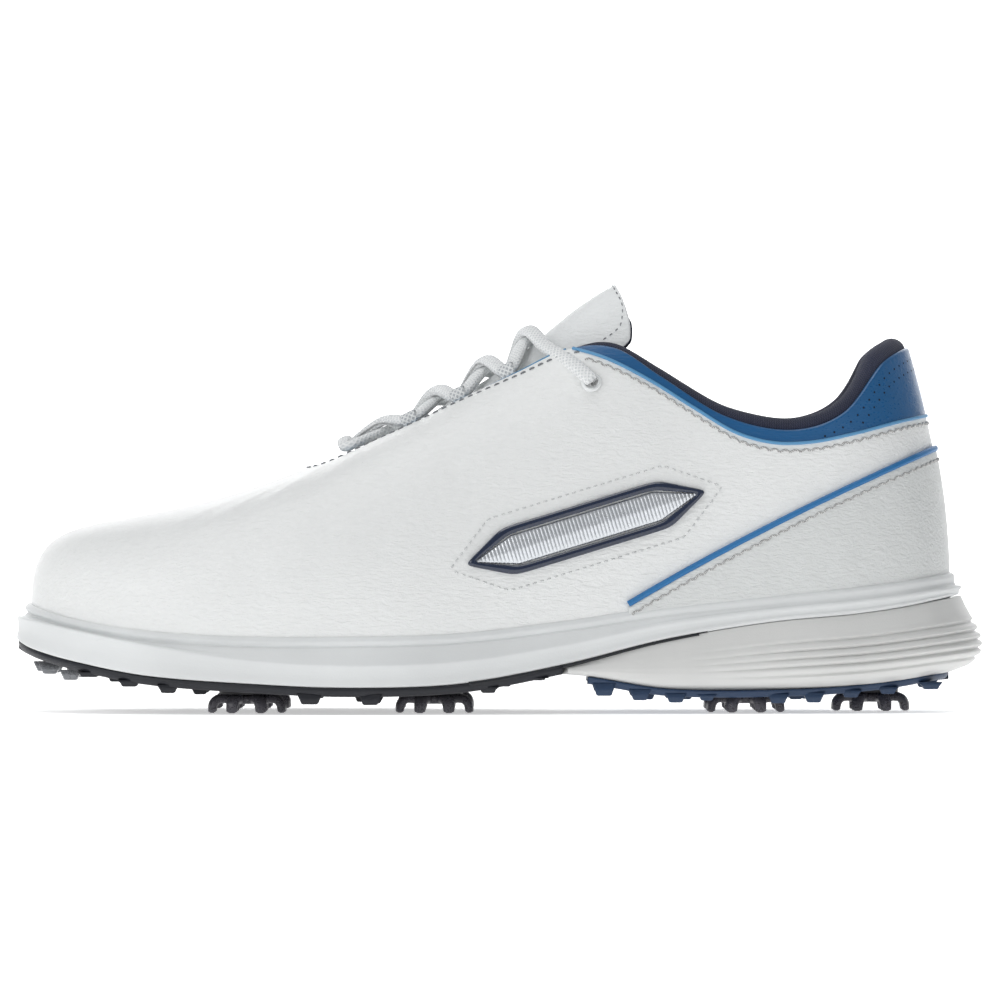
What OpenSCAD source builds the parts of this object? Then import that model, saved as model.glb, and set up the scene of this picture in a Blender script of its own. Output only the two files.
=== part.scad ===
// Left golf shoe, men's 42.5: cemented cup-sole construction with turn-lock cleats.
// The toe points along -X, the outer (lateral) side faces -Y and the ground is z = 0.

/* [Sole] */
// Overall length from toe to heel
sole_len = 300; // [294:1:306]
// Sole width across the ball of the foot
ball_w = 107; // [104:1:110]
// Thickness of the forefoot outsole plate
tread_t = 2.8; // [2.2:0.1:3.0]
// Thickness of the heel outsole plate
heel_tread_t = 1.3; // [1:0.1:1.4]
// Height of the rim that wraps the upper
rim_h = 5; // [4:0.5:6]

/* [Upper] */
// Thickness of the outer leather
leather_t = 1.6; // [1.2:0.1:1.8]
// Thickness of the stiffeners between leather and lining
stiffener_t = 1.1; // [0.8:0.1:1.2]
// Thickness of the lining
lining_t = 1; // [0.8:0.1:1.2]
// Thickness of the heel overlay and the edge trims
overlay_t = 1; // [0.6:0.1:1.2]
// Radius of the padded collar roll
collar_r = 4.2; // [3.6:0.1:4.6]

/* [Lacing] */
// Diameter of the lace
lace_d = 3.2; // [2.6:0.1:3.4]
// Hole radius of the top eyelets
eyelet_r = 1.9; // [1.8:0.05:2.1]
// Length of an aglet
aglet_len = 20; // [16:1:24]

/* [Cleats] */
// Radius of the circle that the cleat claws reach
claw_r = 12.6; // [11.5:0.1:12.8]
// Number of claws on a cleat
claws = 8; // [6:1:10]
// Radius of the cleat hub
hub_r = 7.6; // [7:0.1:8]
// Radius of the cleat's locking stem
stem_r = 4.95; // [4.6:0.05:4.97]
// Radius of the bore that the stem turns in
socket_r = 5; // [5:0.01:5.01]

/* [Hidden] */
$fn = 48;

kx = sole_len / 300;        // length scale of the tables below
ky = ball_w / 107;          // width scale of the tables below
gap = 0.1;                  // room between pieces that are glued or stitched together
move_gap = 0.3;             // room between pieces that move apart
step = 0.02;                // parameter step of the finite differences
half_n = 36;                // mesh columns on each side of the sole
skin_n = 45;                // mesh columns on each side of the upper
shell_n = 9;                // mesh rows from the sole to the top edge

// Sole stations from toe to heel: x, lateral y, medial y, inset of the upper, inset of the
// groove, inset of the crest, inset of the lower edge, then the heights of the upper's edge,
// the crest, the lower edge of the white midsole and the underside of the heel carrier.
SOLE = [
    [-150,   6,    6,   5.0, 3.0, 0.5, 0.3, 33.7, 29.0, 22.3, 22],
    [-145, -13,   24.5, 4.6, 2.9, 0.4, 0.4, 32.0, 28.2, 19.6, 19],
    [-131, -30,   38,   4.4, 2.9, 0.3, 0.5, 28.7, 25.3, 15.9, 15],
    [-108, -43.5, 48,   4.2, 2.8, 0.1, 0.6, 25.4, 20.9, 11.7, 11],
    [ -78, -52,   53,   4.2, 2.8, 0.0, 0.7, 23.9, 16.8,  9.5,  9],
    [ -46, -54,   52,   4.2, 2.8, 0.0, 0.8, 23.8, 15.0,  8.2,  8],
    [ -12, -50,   44.5, 4.4, 3.0, 0.3, 0.9, 24.8, 16.2,  9.3,  9],
    [  20, -45,   38,   4.8, 3.3, 1.2, 1.3, 28.4, 21.0, 15.0, 12.2],
    [  52, -41.5, 36,   5.2, 3.6, 2.2, 2.2, 33.1, 27.6, 22.9,  7.8],
    [  84, -40,   37,   6.2, 4.3, 3.1, 3.2, 36.5, 31.8, 28.2,  7.4],
    [ 113, -37.5, 35.5, 7.8, 5.4, 4.2, 4.4, 39.2, 34.5, 30.9,  8.8],
    [ 138, -26.5, 26.5, 9.8, 7.2, 5.6, 6.0, 42.0, 37.4, 34.4, 11.3],
    [ 150,   0,    0,  10.8, 8.2, 6.2, 6.8, 43.3, 38.6, 36.2, 12.4]];

// Upper stations from toe to heel: place along the sole stations, then the point of the top
// edge (x, y outward, z), the outward swell and height share of the lower shape handle, the
// inward share, outward swell and height share of the upper handle, the share of the height at
// which the collar panel starts and the share at which the lining stops.
UPPER = [
    [ 0.0, -57.0,  0.0,  76.6, 1.8, 0.88, 0.27, 0.0, 0.42, 1.00, 0.96],
    [ 0.9, -56.8,  3.8,  76.6, 1.9, 0.84, 0.27, 0.0, 0.45, 1.00, 0.96],
    [ 1.8, -55.3,  7.0,  76.8, 2.1, 0.74, 0.28, 0.0, 0.53, 1.00, 0.95],
    [ 2.7, -51.0,  9.4,  78.2, 2.4, 0.62, 0.31, 0.0, 0.64, 1.00, 0.94],
    [ 3.5, -42.0, 11.6,  82.2, 2.6, 0.52, 0.35, 0.0, 0.74, 1.00, 0.93],
    [ 4.4, -28.0, 14.4,  88.8, 2.8, 0.44, 0.40, 1.0, 0.81, 1.00, 0.93],
    [ 5.3, -12.0, 17.2,  96.6, 3.0, 0.40, 0.45, 2.0, 0.83, 1.00, 0.92],
    [ 6.2,   5.0, 20.2, 104.6, 3.0, 0.37, 0.48, 3.5, 0.83, 1.00, 0.91],
    [ 7.0,  21.5, 23.5, 112.0, 3.0, 0.36, 0.50, 5.0, 0.82, 0.99, 0.87],
    [ 7.6,  36.0, 26.5, 112.2, 2.8, 0.36, 0.52, 4.0, 0.80, 0.91, 0.82],
    [ 8.2,  51.0, 29.5, 102.8, 2.5, 0.36, 0.55, 3.0, 0.77, 0.93, 0.80],
    [ 8.8,  70.0, 31.8,  91.0, 2.2, 0.35, 0.58, 2.0, 0.74, 0.925, 0.77],
    [ 9.5,  90.0, 32.0,  86.7, 2.0, 0.35, 0.60, 1.0, 0.72, 0.92, 0.76],
    [10.2, 106.5, 28.8,  92.0, 1.6, 0.34, 0.56, 0.5, 0.71, 0.87, 0.78],
    [11.1, 118.8, 19.0, 107.2, 1.0, 0.33, 0.50, 0.0, 0.70, 0.71, 0.82],
    [12.0, 127.3,  0.0, 112.6, 0.7, 0.33, 0.45, 0.0, 0.70, 0.69, 0.83]];

sole_last = len(SOLE) - 1;
upper_last = len(UPPER) - 1;
sole_turn = 2 * sole_last;      // one full turn of the sole parameter
upper_turn = 2 * upper_last;    // one full turn of the upper parameter
collar_start = 8;               // upper station where the collar begins

// ---- curves -------------------------------------------------------------------------------

function spline(a, b, c, d, t) =
    0.5 * (2 * b + (c - a) * t + (2 * a - 5 * b + 4 * c - d) * t * t
        + (3 * b - a - 3 * c + d) * t * t * t);
function bezier(a, b, c, d, t) =
    a * pow(1 - t, 3) + 3 * b * t * pow(1 - t, 2) + 3 * c * t * t * (1 - t) + d * pow(t, 3);
function unit(v) = v / norm(v);
function wrap(i, n) = i - n * floor(i / n);
function clamp(x, lo, hi) = min(hi, max(lo, x));
function smooth(x, a, b) = let (t = clamp((x - a) / (b - a), 0, 1)) t * t * (3 - 2 * t);

// A sole row at a whole index: the lateral side first, then back along the medial side.
function sole_at(i) =
    let (k = wrap(i, sole_turn), r = SOLE[k <= sole_last ? k : sole_turn - k])
    concat([r[0] * kx, (k <= sole_last ? r[1] : r[2]) * ky], [for (c = [3:10]) r[c]]);
function sole_row(s) =
    let (i = floor(s), t = s - i)
    spline(sole_at(i - 1), sole_at(i), sole_at(i + 1), sole_at(i + 2), t);
function outline(s) = let (r = sole_row(s)) [r[0], r[1]];
function outward(s) =
    let (d = unit(outline(s + step) - outline(s - step))) [d[1], -d[0]];

// An upper row at a whole index, unwrapped so that the sole place keeps growing.
function upper_at(i) =
    let (k = wrap(i, upper_turn), lateral = k <= upper_last,
        r = UPPER[lateral ? k : upper_turn - k], turns = floor(i / upper_turn))
    concat([(lateral ? r[0] : sole_turn - r[0]) + turns * sole_turn,
        r[1] * kx, (lateral ? -1 : 1) * r[2] * ky], [for (c = [3:10]) r[c]]);
function upper_row(u) =
    let (i = floor(u), t = u - i)
    spline(upper_at(i - 1), upper_at(i), upper_at(i + 1), upper_at(i + 2), t);

// The four shape points of the rib at u, from the sole up to the top edge.
function rib(u) =
    let (r = upper_row(u), s = r[0], row = sole_row(s), n = outward(s),
        foot = [row[0] - n[0] * row[2], row[1] - n[1] * row[2], row[6] - rim_h],
        top = [r[1], r[2], r[3]], rise = top[2] - foot[2],
        flat = [top[0] - foot[0], top[1] - foot[1], 0], out = [n[0], n[1], 0])
    [foot, foot + out * r[4] + [0, 0, r[5] * rise],
        foot + flat * r[6] + out * r[7] + [0, 0, r[8] * rise], top];
function on_rib(p, v) = bezier(p[0], p[1], p[2], p[3], v);
function skin(u, v) = on_rib(rib(u), v);
// A point at a distance outside the surface of the upper.
function off_skin(u, v, d) =
    let (here = rib(u), next = rib(u + step), p = on_rib(here, v),
        along = on_rib(next, v) - p, up = on_rib(here, v + step) - p)
    p + unit(cross(along, up)) * d;

// The place (u, v) at a given x and z on one side, by Newton's method.
function find_uv(x, z, u, v, tries = 6) =
    tries == 0 ? [u, v]
    : let (p = skin(u, v), a = (skin(u + step, v) - p) / step, b = (skin(u, v + step) - p) / step,
        det = a[0] * b[2] - b[0] * a[2], ex = x - p[0], ez = z - p[2])
    find_uv(x, z, u + (ex * b[2] - b[0] * ez) / det, v + (a[0] * ez - ex * a[2]) / det, tries - 1);

// Height of the heel piping as a function of x.
pipe_x0 = 36;
pipe_x1 = 137;
function pipe_z(x) = bezier(30.3, 50.6, 67.7, 81.4, (x / kx - pipe_x0) / (pipe_x1 - pipe_x0));
// The share of the rib at which it crosses the piping.
function pipe_v(p, lo = 0, hi = 1, tries = 14) =
    let (mid = (lo + hi) / 2, q = on_rib(p, mid))
    tries == 0 ? mid : q[2] < pipe_z(q[0]) ? pipe_v(p, mid, hi, tries - 1)
        : pipe_v(p, lo, mid, tries - 1);

// ---- meshes -------------------------------------------------------------------------------

function quad(a, b, c, d) = [[a, b, c], [a, c, d]];
function flat(lists) = [for (l = lists) for (x = l) x];

// Solid between an outer and an inner grid of points; rows run round the shoe.
module plate(outer, inner, closed = false) {
    n = len(outer);
    m = len(outer[0]);
    last = closed ? n - 1 : n - 2;
    half = n * m;
    function a(i, j) = (i % n) * m + j;
    function b(i, j) = half + a(i, j);
    faces = concat(
        [for (i = [0:last]) for (j = [0:m - 2])
            each quad(a(i, j), a(i, j + 1), a(i + 1, j + 1), a(i + 1, j))],
        [for (i = [0:last]) for (j = [0:m - 2])
            each quad(b(i, j), b(i + 1, j), b(i + 1, j + 1), b(i, j + 1))],
        [for (i = [0:last]) each quad(a(i, 0), a(i + 1, 0), b(i + 1, 0), b(i, 0))],
        [for (i = [0:last])
            each quad(a(i + 1, m - 1), a(i, m - 1), b(i, m - 1), b(i + 1, m - 1))],
        closed ? [] : [for (j = [0:m - 2]) each concat(
            quad(a(0, j + 1), a(0, j), b(0, j), b(0, j + 1)),
            quad(a(n - 1, j), a(n - 1, j + 1), b(n - 1, j + 1), b(n - 1, j)))]);
    polyhedron(points = concat(flat(outer), flat(inner)), faces = faces, convexity = 8);
}

// Solid skinned over level rings, bottom ring first. A whole ring has an even count and a
// part ring, cut off square at its front, an odd one.
module stack(rings) {
    n = len(rings[0]);
    m = len(rings);
    whole = n % 2 == 0;
    mate = whole ? n : n - 1;
    first = whole ? 1 : 0;
    mid = floor(n / 2);
    function a(i, j) = j * n + i % n;
    function cap(base, up) = [for (f = concat(
            whole ? [[n - 1, 0, 1], [mid - 1, mid, mid + 1]] : [[mid - 1, mid, mid + 1]],
            [for (k = [first:mid - 2]) each quad(k, k + 1, mate - k - 1, mate - k)]))
        up ? [base + f[2], base + f[1], base + f[0]] : [base + f[0], base + f[1], base + f[2]]];
    faces = concat(cap(0, false), cap((m - 1) * n, true),
        [for (j = [0:m - 2]) for (i = [0:n - 1])
            each quad(a(i, j), a(i, j + 1), a(i + 1, j + 1), a(i + 1, j))]);
    polyhedron(points = flat(rings), faces = faces, convexity = 8);
}

// Tube with flat ends swept along a path of points.
module tube(path, r, sides = 8) {
    n = len(path);
    dirs = [for (i = [0:n - 1]) unit(path[min(i + 1, n - 1)] - path[max(i - 1, 0)])];
    // Side vectors carried from ring to ring, so that the tube doesn't twist.
    function carry(v, d) = unit(v - d * (v * d));
    function frames(i, v) = i == n ? [] : let (w = carry(v, dirs[i])) concat([w], frames(i + 1, w));
    start = abs(dirs[0][2]) < 0.8 ? [0, 0, 1] : [0, 1, 0];
    sidev = frames(0, start);
    points = [for (i = [0:n - 1]) for (k = [0:sides - 1])
        let (w = cross(dirs[i], sidev[i]), t = 360 * k / sides)
        path[i] + r * (cos(t) * sidev[i] + sin(t) * w)];
    faces = concat([[for (k = [0:sides - 1]) k]],
        [[for (k = [sides - 1:-1:0]) (n - 1) * sides + k]],
        [for (i = [0:n - 2]) for (k = [0:sides - 1])
            let (k2 = (k + 1) % sides, p = i * sides, q = p + sides)
            each quad(p + k, q + k, q + k2, p + k2)]);
    polyhedron(points = points, faces = faces, convexity = 8);
}

// Points of a smooth path through hand-set points, n points to each stretch.
function smooth_path(pts, n) =
    let (last = len(pts) - 1)
    concat([for (i = [0:last - 1]) for (k = [0:n - 1])
        spline(pts[max(i - 1, 0)], pts[i], pts[i + 1], pts[min(i + 2, last)], k / n)], [pts[last]]);

// Stands children at a point with their Z along a direction.
module aim(at, dir) {
    d = unit(dir);
    translate(at)
        rotate([0, acos(d[2]), atan2(d[1], d[0])])
            children();
}

// ---- sole ---------------------------------------------------------------------------------

function ring_places(from) = from == 0
    ? [for (i = [0:2 * half_n - 1]) i * sole_last / half_n]
    : let (n = ceil(half_n * (sole_last - from) / sole_last), d = (sole_last - from) / n)
        [for (i = [0:2 * n]) from + i * d];
// A ring at an inset from the outline; both are functions of a sole row.
function ring(places, inset, height) = [for (s = places)
    let (r = sole_row(s), n = outward(s), e = inset(r)) [r[0] - n[0] * e, r[1] - n[1] * e, height(r)]];

R_UPPER = 2;    // columns of a sole row, after x and y
R_GROOVE = 3;
R_CREST = 4;
R_EDGE = 5;
Z_UPPER = 6;
Z_CREST = 7;
Z_EDGE = 8;
Z_HEEL = 9;

board_t = 1.8;              // lasting board
insole_t = 4.4;             // sockliner
bed_drop = rim_h + board_t + 3 * gap;       // from the rim down to the bed of the cup
core_drop = bed_drop + 3;                   // from the rim down to the core's underside
core_in = 12;                               // how far in the core's underside begins
shank_from = 6.7;                           // sole stations where the shank begins and ends
shank_to = 8.4;
shank_t = 1.2;
heel_from = 7.05;                           // sole station where the heel carrier begins
tread_to = 7;                               // sole station where the forefoot tread ends

function core_z(r) = min(r[Z_EDGE], r[Z_UPPER] - core_drop);

module midsole_body() {
    all = ring_places(0);
    stack([
        ring(all, function(r) core_in, function(r) core_z(r)),
        ring(all, function(r) r[R_EDGE] + 1.5, function(r) r[Z_EDGE]),
        ring(all, function(r) r[R_EDGE], function(r) r[Z_EDGE] + 0.4),
        ring(all, function(r) r[R_CREST], function(r) r[Z_CREST]),
        ring(all, function(r) r[R_GROOVE], function(r) r[Z_UPPER] - 2.8),
        ring(all, function(r) r[R_GROOVE] + 0.7, function(r) r[Z_UPPER] - 0.9),
        ring(all, function(r) r[R_UPPER] - gap, function(r) r[Z_UPPER]),
        ring(all, function(r) r[R_UPPER] - gap, function(r) r[Z_UPPER] - bed_drop)]);
}

// The midsole's white cup: rim, crest and bed, with wells for the cleat sockets.
module midsole() {
    color("whitesmoke") difference() {
        midsole_body();
        socket_wells();
        translate([0, 0, -move_gap]) cushion_body(cushion_r + move_gap, cushion_h + 2 * move_gap);
        shank_room();
    }
}

// Room cut in the midsole's underside for the shank plate.
module shank_room() {
    part_slab(shank_from, shank_to, -2, 0.1 - 2 * gap, shank_t + gap);
}

// A slab under the midsole's lower edge, between two sole stations.
module part_slab(from, to, inset, drop_top, drop_bottom) {
    n = 8;
    places = [for (i = [0:n]) from + (to - from) * i / n];
    function side(s, sign, dz) =
        let (r = sole_row(sign < 0 ? s : sole_turn - s), m = outward(sign < 0 ? s : sole_turn - s),
            e = r[R_EDGE] + inset)
        [r[0] - m[0] * e, r[1] - m[1] * e, r[Z_EDGE] + dz];
    outer = [for (s = places) [side(s, -1, drop_bottom), side(s, 1, drop_bottom)]];
    inner = [for (s = places) [side(s, -1, drop_top), side(s, 1, drop_top)]];
    plate(outer, inner);
}

// Outline of the heel carrier's wall: inset and share of its height, bottom to top.
carrier_wall = [[9.5, 0], [4, 0.09], [1.4, 0.19], [0.2, 0.3], [1.1, 0.4], [1.0, 0.48],
    [2.0, 0.56], [2.2, 0.64], [3.8, 0.72], [5.2, 0.86], [6.4, 1]];

// Carrier wall insets shrink towards the shank, where the wall stands nearly upright.
function carrier_ring(places, wall) = ring(places,
    function(r) let (k = smooth(r[0] / kx, 40, 140)) wall[0] * (0.25 + 0.75 * k) + 1.2 * (1 - k),
    function(r) r[Z_HEEL] + wall[1] * (r[Z_EDGE] - gap - r[Z_HEEL]));

// The light grey heel carrier with its wrap-round ribs.
module heel_carrier() {
    places = ring_places(heel_from);
    rings = [for (w = carrier_wall) carrier_ring(places, w)];
    color("gainsboro") difference() {
        stack(concat(rings, [ring(places, function(r) core_in, function(r) core_z(r) - gap)]));
        socket_wells();
        part_slab(heel_from - 0.1, shank_to, -2, -2 * gap, shank_t);
    }
}

// The dark plate that bridges the waist between the forefoot and the heel.
module midfoot_shank() {
    color("dimgray") intersection() {
        part_slab(shank_from + 0.02, shank_to - 0.02, 0.4, -gap, shank_t);
        translate([-sole_len / 2, -ball_w, 0]) cube([sole_len, 2 * ball_w, 60]);
    }
}

// A flat gas cushion that lies in the forefoot bed.
cushion_r = 24;
cushion_h = 3;
cushion_x = -62;
cushion_z = 13.9;
module cushion_body(r, h) {
    translate([cushion_x * kx, 0, cushion_z]) hull() {
        for (dx = [-16, 16])
            translate([dx, 0, 0]) cylinder(r = r, h = h);
    }
}
module air_cushion() {
    color("lightsteelblue", 0.6) cushion_body(cushion_r, cushion_h - move_gap);
}

// ---- tread and cleats ---------------------------------------------------------------------

cleat_top = 5.7;            // top face of a cleat's hub
socket_face = cleat_top + move_gap;
socket_h = 5;               // height of a cleat socket
socket_out = 8.6;           // outer radius of a cleat socket
stem_h = 4.4;               // height of the locking stem above the hub
CLEATS = [[-77, -33], [-77, 34], [-19.5, -31], [-19.5, 27], [76.2, -22], [76.2, 20], [115.5, 0]];
function cleat_at(i) = [CLEATS[i][0] * kx, CLEATS[i][1] * ky, 0];

module at_cleats() {
    for (i = [0:len(CLEATS) - 1])
        translate(cleat_at(i)) children();
}
module socket_wells() {
    at_cleats() cylinder(r = socket_out + gap, h = socket_face + socket_h + gap);
}
module cleat_sweep() {
    at_cleats() cylinder(r = claw_r + 1, h = socket_face + 0.01);
}

// A cleat socket: a blind cup whose bore takes the locking stem.
module cleat_sockets() {
    color("slategray") at_cleats() difference() {
        translate([0, 0, socket_face]) cylinder(r = socket_out, h = socket_h);
        translate([0, 0, socket_face - 1]) cylinder(r = socket_r, h = stem_h + 1 + 0.2);
    }
}

// One claw, drawn in the plane through the cleat's axis.
claw_w = 3;
module claw() {
    rotate([90, 0, 0]) translate([0, 0, -claw_w / 2]) linear_extrude(claw_w)
        polygon([[hub_r - 2, cleat_top - 0.6], [claw_r - 2.4, cleat_top - 1.2],
            [claw_r, cleat_top - 3.2], [claw_r, 0], [claw_r - 1.8, 0],
            [claw_r - 2.8, cleat_top - 3.4], [hub_r - 2, cleat_top - 2.4]]);
}

module cleat(i) {
    color([0.24, 0.24, 0.27]) translate(cleat_at(i)) {
        translate([0, 0, cleat_top - 2.6]) cylinder(r = hub_r, h = 2.6);
        translate([0, 0, cleat_top - 0.5]) cylinder(r = stem_r, h = stem_h + 0.5);
        for (k = [0:claws - 1])
            rotate([0, 0, 360 * (k + 0.5) / claws]) claw();
    }
}
module cleat_1() { cleat(0); }
module cleat_2() { cleat(1); }
module cleat_3() { cleat(2); }
module cleat_4() { cleat(3); }
module cleat_5() { cleat(4); }
module cleat_6() { cleat(5); }
module cleat_7() { cleat(6); }

// A tread lug: a block that tapers downwards, standing at (x, y) with its foot at height z.
module lug(x, y, z, top_z, w, d) {
    taper = 1.2;
    translate([x, y + d / 2, 0]) rotate([90, 0, 0]) linear_extrude(d)
        polygon([[-w / 2 - taper, top_z], [-w / 2, z], [w / 2, z], [w / 2 + taper, top_z]]);
}

// Edge lugs of the forefoot: x, height of the foot and width.
EDGE_LUGS = [[-125.5, 11.2, 5.5], [-113, 8.4, 5], [-101, 6.5, 4.5], [-57.5, 3.2, 5.5],
    [-39, 3, 5], [-3, 6.6, 4.5], [11, 10.4, 7]];
HEEL_LUGS = [[32.5, 5.6, 5], [43.5, 4.2, 4.5], [54.5, 3.5, 4.5], [64, 4.1, 4], [86, 3.2, 4.5],
    [97, 3.4, 4.5], [108.5, 4.9, 4.5], [120, 5.9, 4.5], [133.5, 7.2, 5]];
// Inner lugs of both treads: x, y and height of the foot.
FORE_LUGS = [[-118, -12, 9.5], [-118, 12, 9.5], [-102, 0, 6.6], [-92, -14, 5.6], [-92, 14, 5.6],
    [-76, 0, 4.4], [-58, -14, 3.4], [-58, 14, 3.4], [-42, 0, 3], [-38, -24, 3], [-38, 24, 3],
    [-20, 0, 3.8], [2, -13, 8], [2, 13, 8]];
TAIL_LUGS = [[46, -12, 4], [46, 12, 4], [58, 0, 3.8], [92, -10, 4], [92, 10, 4], [97, 0, 4]];

// Sole station at x, by halving, and the outline's y there.
function side_y(x, sign) =
    let (s = station_of(x)) outline(sign < 0 ? s : sole_turn - s)[1];
function station_of(x, lo = 0, hi = 12, tries = 12) =
    let (mid = (lo + hi) / 2)
    tries == 0 ? mid : outline(mid)[0] < x ? station_of(x, mid, hi, tries - 1)
        : station_of(x, lo, mid, tries - 1);
function tread_z(x) = sole_row(station_of(x))[Z_EDGE] - tread_t;
function tail_z(x) = sole_row(station_of(x))[Z_HEEL] - heel_tread_t;

module edge_lugs(list, edge_in, depth, is_heel) {
    for (g = list) for (sign = [-1, 1]) {
        x = g[0] * kx;
        inset = is_heel ? tail_inset([x]) + 0.6 : edge_in;
        y = side_y(x, sign) - sign * (inset + depth / 2);
        top = (is_heel ? tail_z(x) : tread_z(x)) + 0.8;
        lug(x, y, g[1], top, g[2], depth);
    }
}

// The graphite forefoot tread: a plate under the midsole with edge and inner lugs.
module outsole_forefoot() {
    fore_n = 20;
    color([0.29, 0.29, 0.33]) difference() {
        union() {
            tread_plate(fore_n);
            edge_lugs(EDGE_LUGS, 2, 9, false);
            for (g = FORE_LUGS)
                lug(g[0] * kx, g[1] * ky, g[2], tread_z(g[0] * kx) + 0.8, 4, 8);
        }
        cleat_sweep();
        socket_wells();
    }
}

// The forefoot plate itself, from the toe to where the shank takes over.
module tread_plate(n) {
    line = concat([for (i = [n:-1:0]) tread_to * i / n], [for (i = [1:n]) sole_turn - tread_to * i / n]);
    function at(s, e, dz) =
        let (r = sole_row(s), m = outward(s)) [r[0] - m[0] * e, r[1] - m[1] * e, r[Z_EDGE] + dz];
    // Both rings run from the lateral end round the toe to the medial end.
    low = [for (s = line) at(s, 1.4, -tread_t)];
    mid = [for (s = line) at(s, 0.9, -1)];
    top = [for (s = line) at(s, 1.1, -gap)];
    front_stack([low, mid, top]);
}

// Like stack, for a ring that is cut off square at its rear; its middle point is the toe.
module front_stack(rings) {
    n = len(rings[0]);
    m = len(rings);
    mid = floor(n / 2);
    function a(i, j) = j * n + i % n;
    function cap(base, up) = [for (f = concat([[mid - 1, mid, mid + 1]],
            [for (k = [0:mid - 2]) each quad(k, k + 1, n - 2 - k, n - 1 - k)]))
        up ? [base + f[0], base + f[1], base + f[2]] : [base + f[2], base + f[1], base + f[0]]];
    faces = concat(cap(0, false), cap((m - 1) * n, true),
        [for (j = [0:m - 2]) for (i = [0:n - 1])
            each quad(a(i + 1, j), a(i + 1, j + 1), a(i, j + 1), a(i, j))]);
    polyhedron(points = flat(rings), faces = faces, convexity = 8);
}

// The blue heel tread with its trapezoid lugs.
boss_h = 8.2;               // top of the boss round the rear cleat
module outsole_heel() {
    places = ring_places(7.25);
    color([0.15, 0.32, 0.51]) difference() {
        union() {
            stack([
                ring(places, function(r) tail_inset(r), function(r) r[Z_HEEL] - heel_tread_t),
                ring(places, function(r) tail_inset(r) - 0.3, function(r) r[Z_HEEL] - gap)]);
            edge_lugs(HEEL_LUGS, 0, 5, true);
            for (g = TAIL_LUGS)
                lug(g[0] * kx, g[1] * ky, g[2], tail_z(g[0] * kx) + 0.8, 4, 7);
            translate(cleat_at(6)) cylinder(r = socket_out + 1.6, h = boss_h);
        }
        cleat_sweep();
        socket_wells();
    }
}
function tail_inset(r) = let (k = smooth(r[0] / kx, 60, 140)) 3 + 7.5 * k;

// Five clear grey lugs under the toe.
module toe_lugs() {
    color("gray", 0.8) for (y = [-18, -6, 6, 18, 30]) {
        x = (-141 + 0.016 * pow(y - 6, 2)) * kx;
        lug(x, y * ky, tread_z(x) - 3.2, tread_z(x) - gap, 4.5, 7);
    }
}

// ---- inside -------------------------------------------------------------------------------

// The stitched board that closes the upper underneath.
module lasting_board() {
    all = ring_places(0);
    color("burlywood") stack([
        ring(all, function(r) r[R_UPPER] + gap, function(r) r[Z_UPPER] - bed_drop + gap),
        ring(all, function(r) r[R_UPPER] + gap, function(r) r[Z_UPPER] - rim_h - gap)]);
}

// The removable sockliner.
wall_t = leather_t + stiffener_t + lining_t + 4 * gap;
module insole() {
    all = ring_places(0);
    color("midnightblue") stack([
        ring(all, function(r) r[R_UPPER] + wall_t + 0.4, function(r) r[Z_UPPER] - rim_h),
        ring(all, function(r) r[R_UPPER] + wall_t + 0.4, function(r) r[Z_UPPER] - rim_h + insole_t)]);
}

// ---- upper --------------------------------------------------------------------------------

function columns(from, to, n) = [for (i = [0:n]) from + (to - from) * i / n];
all_columns = [for (i = [0:2 * skin_n - 1]) i * upper_last / skin_n];
// The same columns between two places, so that the layers' facets lie parallel.
function shared_columns(from, to) =
    [for (i = [ceil(from * skin_n / upper_last):floor(to * skin_n / upper_last)])
        i * upper_last / skin_n];

// A layer of the upper between two depths and two heights, both heights functions of u.
module layer(cols, low, high, rows, depth_in, depth_out, closed = false) {
    function side(d) = [for (u = cols)
        let (here = rib(u), next = rib(u + step), a = low(u), b = high(u))
        [for (j = [0:rows])
            let (v = a + (b - a) * j / rows, p = on_rib(here, v), along = on_rib(next, v) - p,
                up = on_rib(here, v + step) - p)
            p + unit(cross(along, up)) * d]];
    plate(side(depth_out), side(depth_in), closed);
}

lining_out = -leather_t - stiffener_t - 2 * gap;
function panel_v(u) = min(1, upper_row(u)[9]);
function lining_v(u) = upper_row(u)[10];

// Place of the top eyelets on the quarters.
eyelet_uv = find_uv(28.7 * kx, 101.7, 7.6, 0.85);
module at_eyelet(sign) {
    u = sign < 0 ? eyelet_uv[0] : upper_turn - eyelet_uv[0];
    base = skin(u, eyelet_uv[1]);
    aim(base, off_skin(u, eyelet_uv[1], 1) - base) children();
}
module eyelet_holes() {
    for (sign = [-1, 1])
        at_eyelet(sign) translate([0, 0, -8]) cylinder(r = eyelet_r + 0.75, h = 12);
}

// The white whole-cut vamp and quarters.
module vamp_quarter() {
    color("white") difference() {
        layer(all_columns, function(u) 0, function(u) min(1, panel_v(u) - 0.004), shell_n,
            -leather_t, 0, true);
        eyelet_holes();
    }
}

// The white overlay round the heel, below the piping.
overlay_cols = shared_columns(9.1, upper_turn - 9.1);
module heel_overlay() {
    color("snow") layer(overlay_cols, function(u) min(0.1, pipe_v(rib(u)) - 0.03),
        function(u) pipe_v(rib(u)) - 0.012, 5, 3 * gap, overlay_t);
}

// The blue piping along the overlay's top edge.
pipe_r = 0.8;
module heel_piping() {
    color([0.16, 0.49, 0.75]) tube([for (u = columns(9, upper_turn - 9, 40))
        off_skin(u, pipe_v(rib(u)) + 0.012, pipe_r + gap)], pipe_r, 6);
}

// The perforated blue panel round the collar and heel tab.
collar_cols = columns(collar_start + 0.1, upper_turn - collar_start - 0.1, 30);
module collar_panel() {
    color([0.08, 0.43, 0.69]) layer(collar_cols, function(u) panel_v(u) + 0.004,
        function(u) 1, 3, -leather_t, 0);
}

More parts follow.
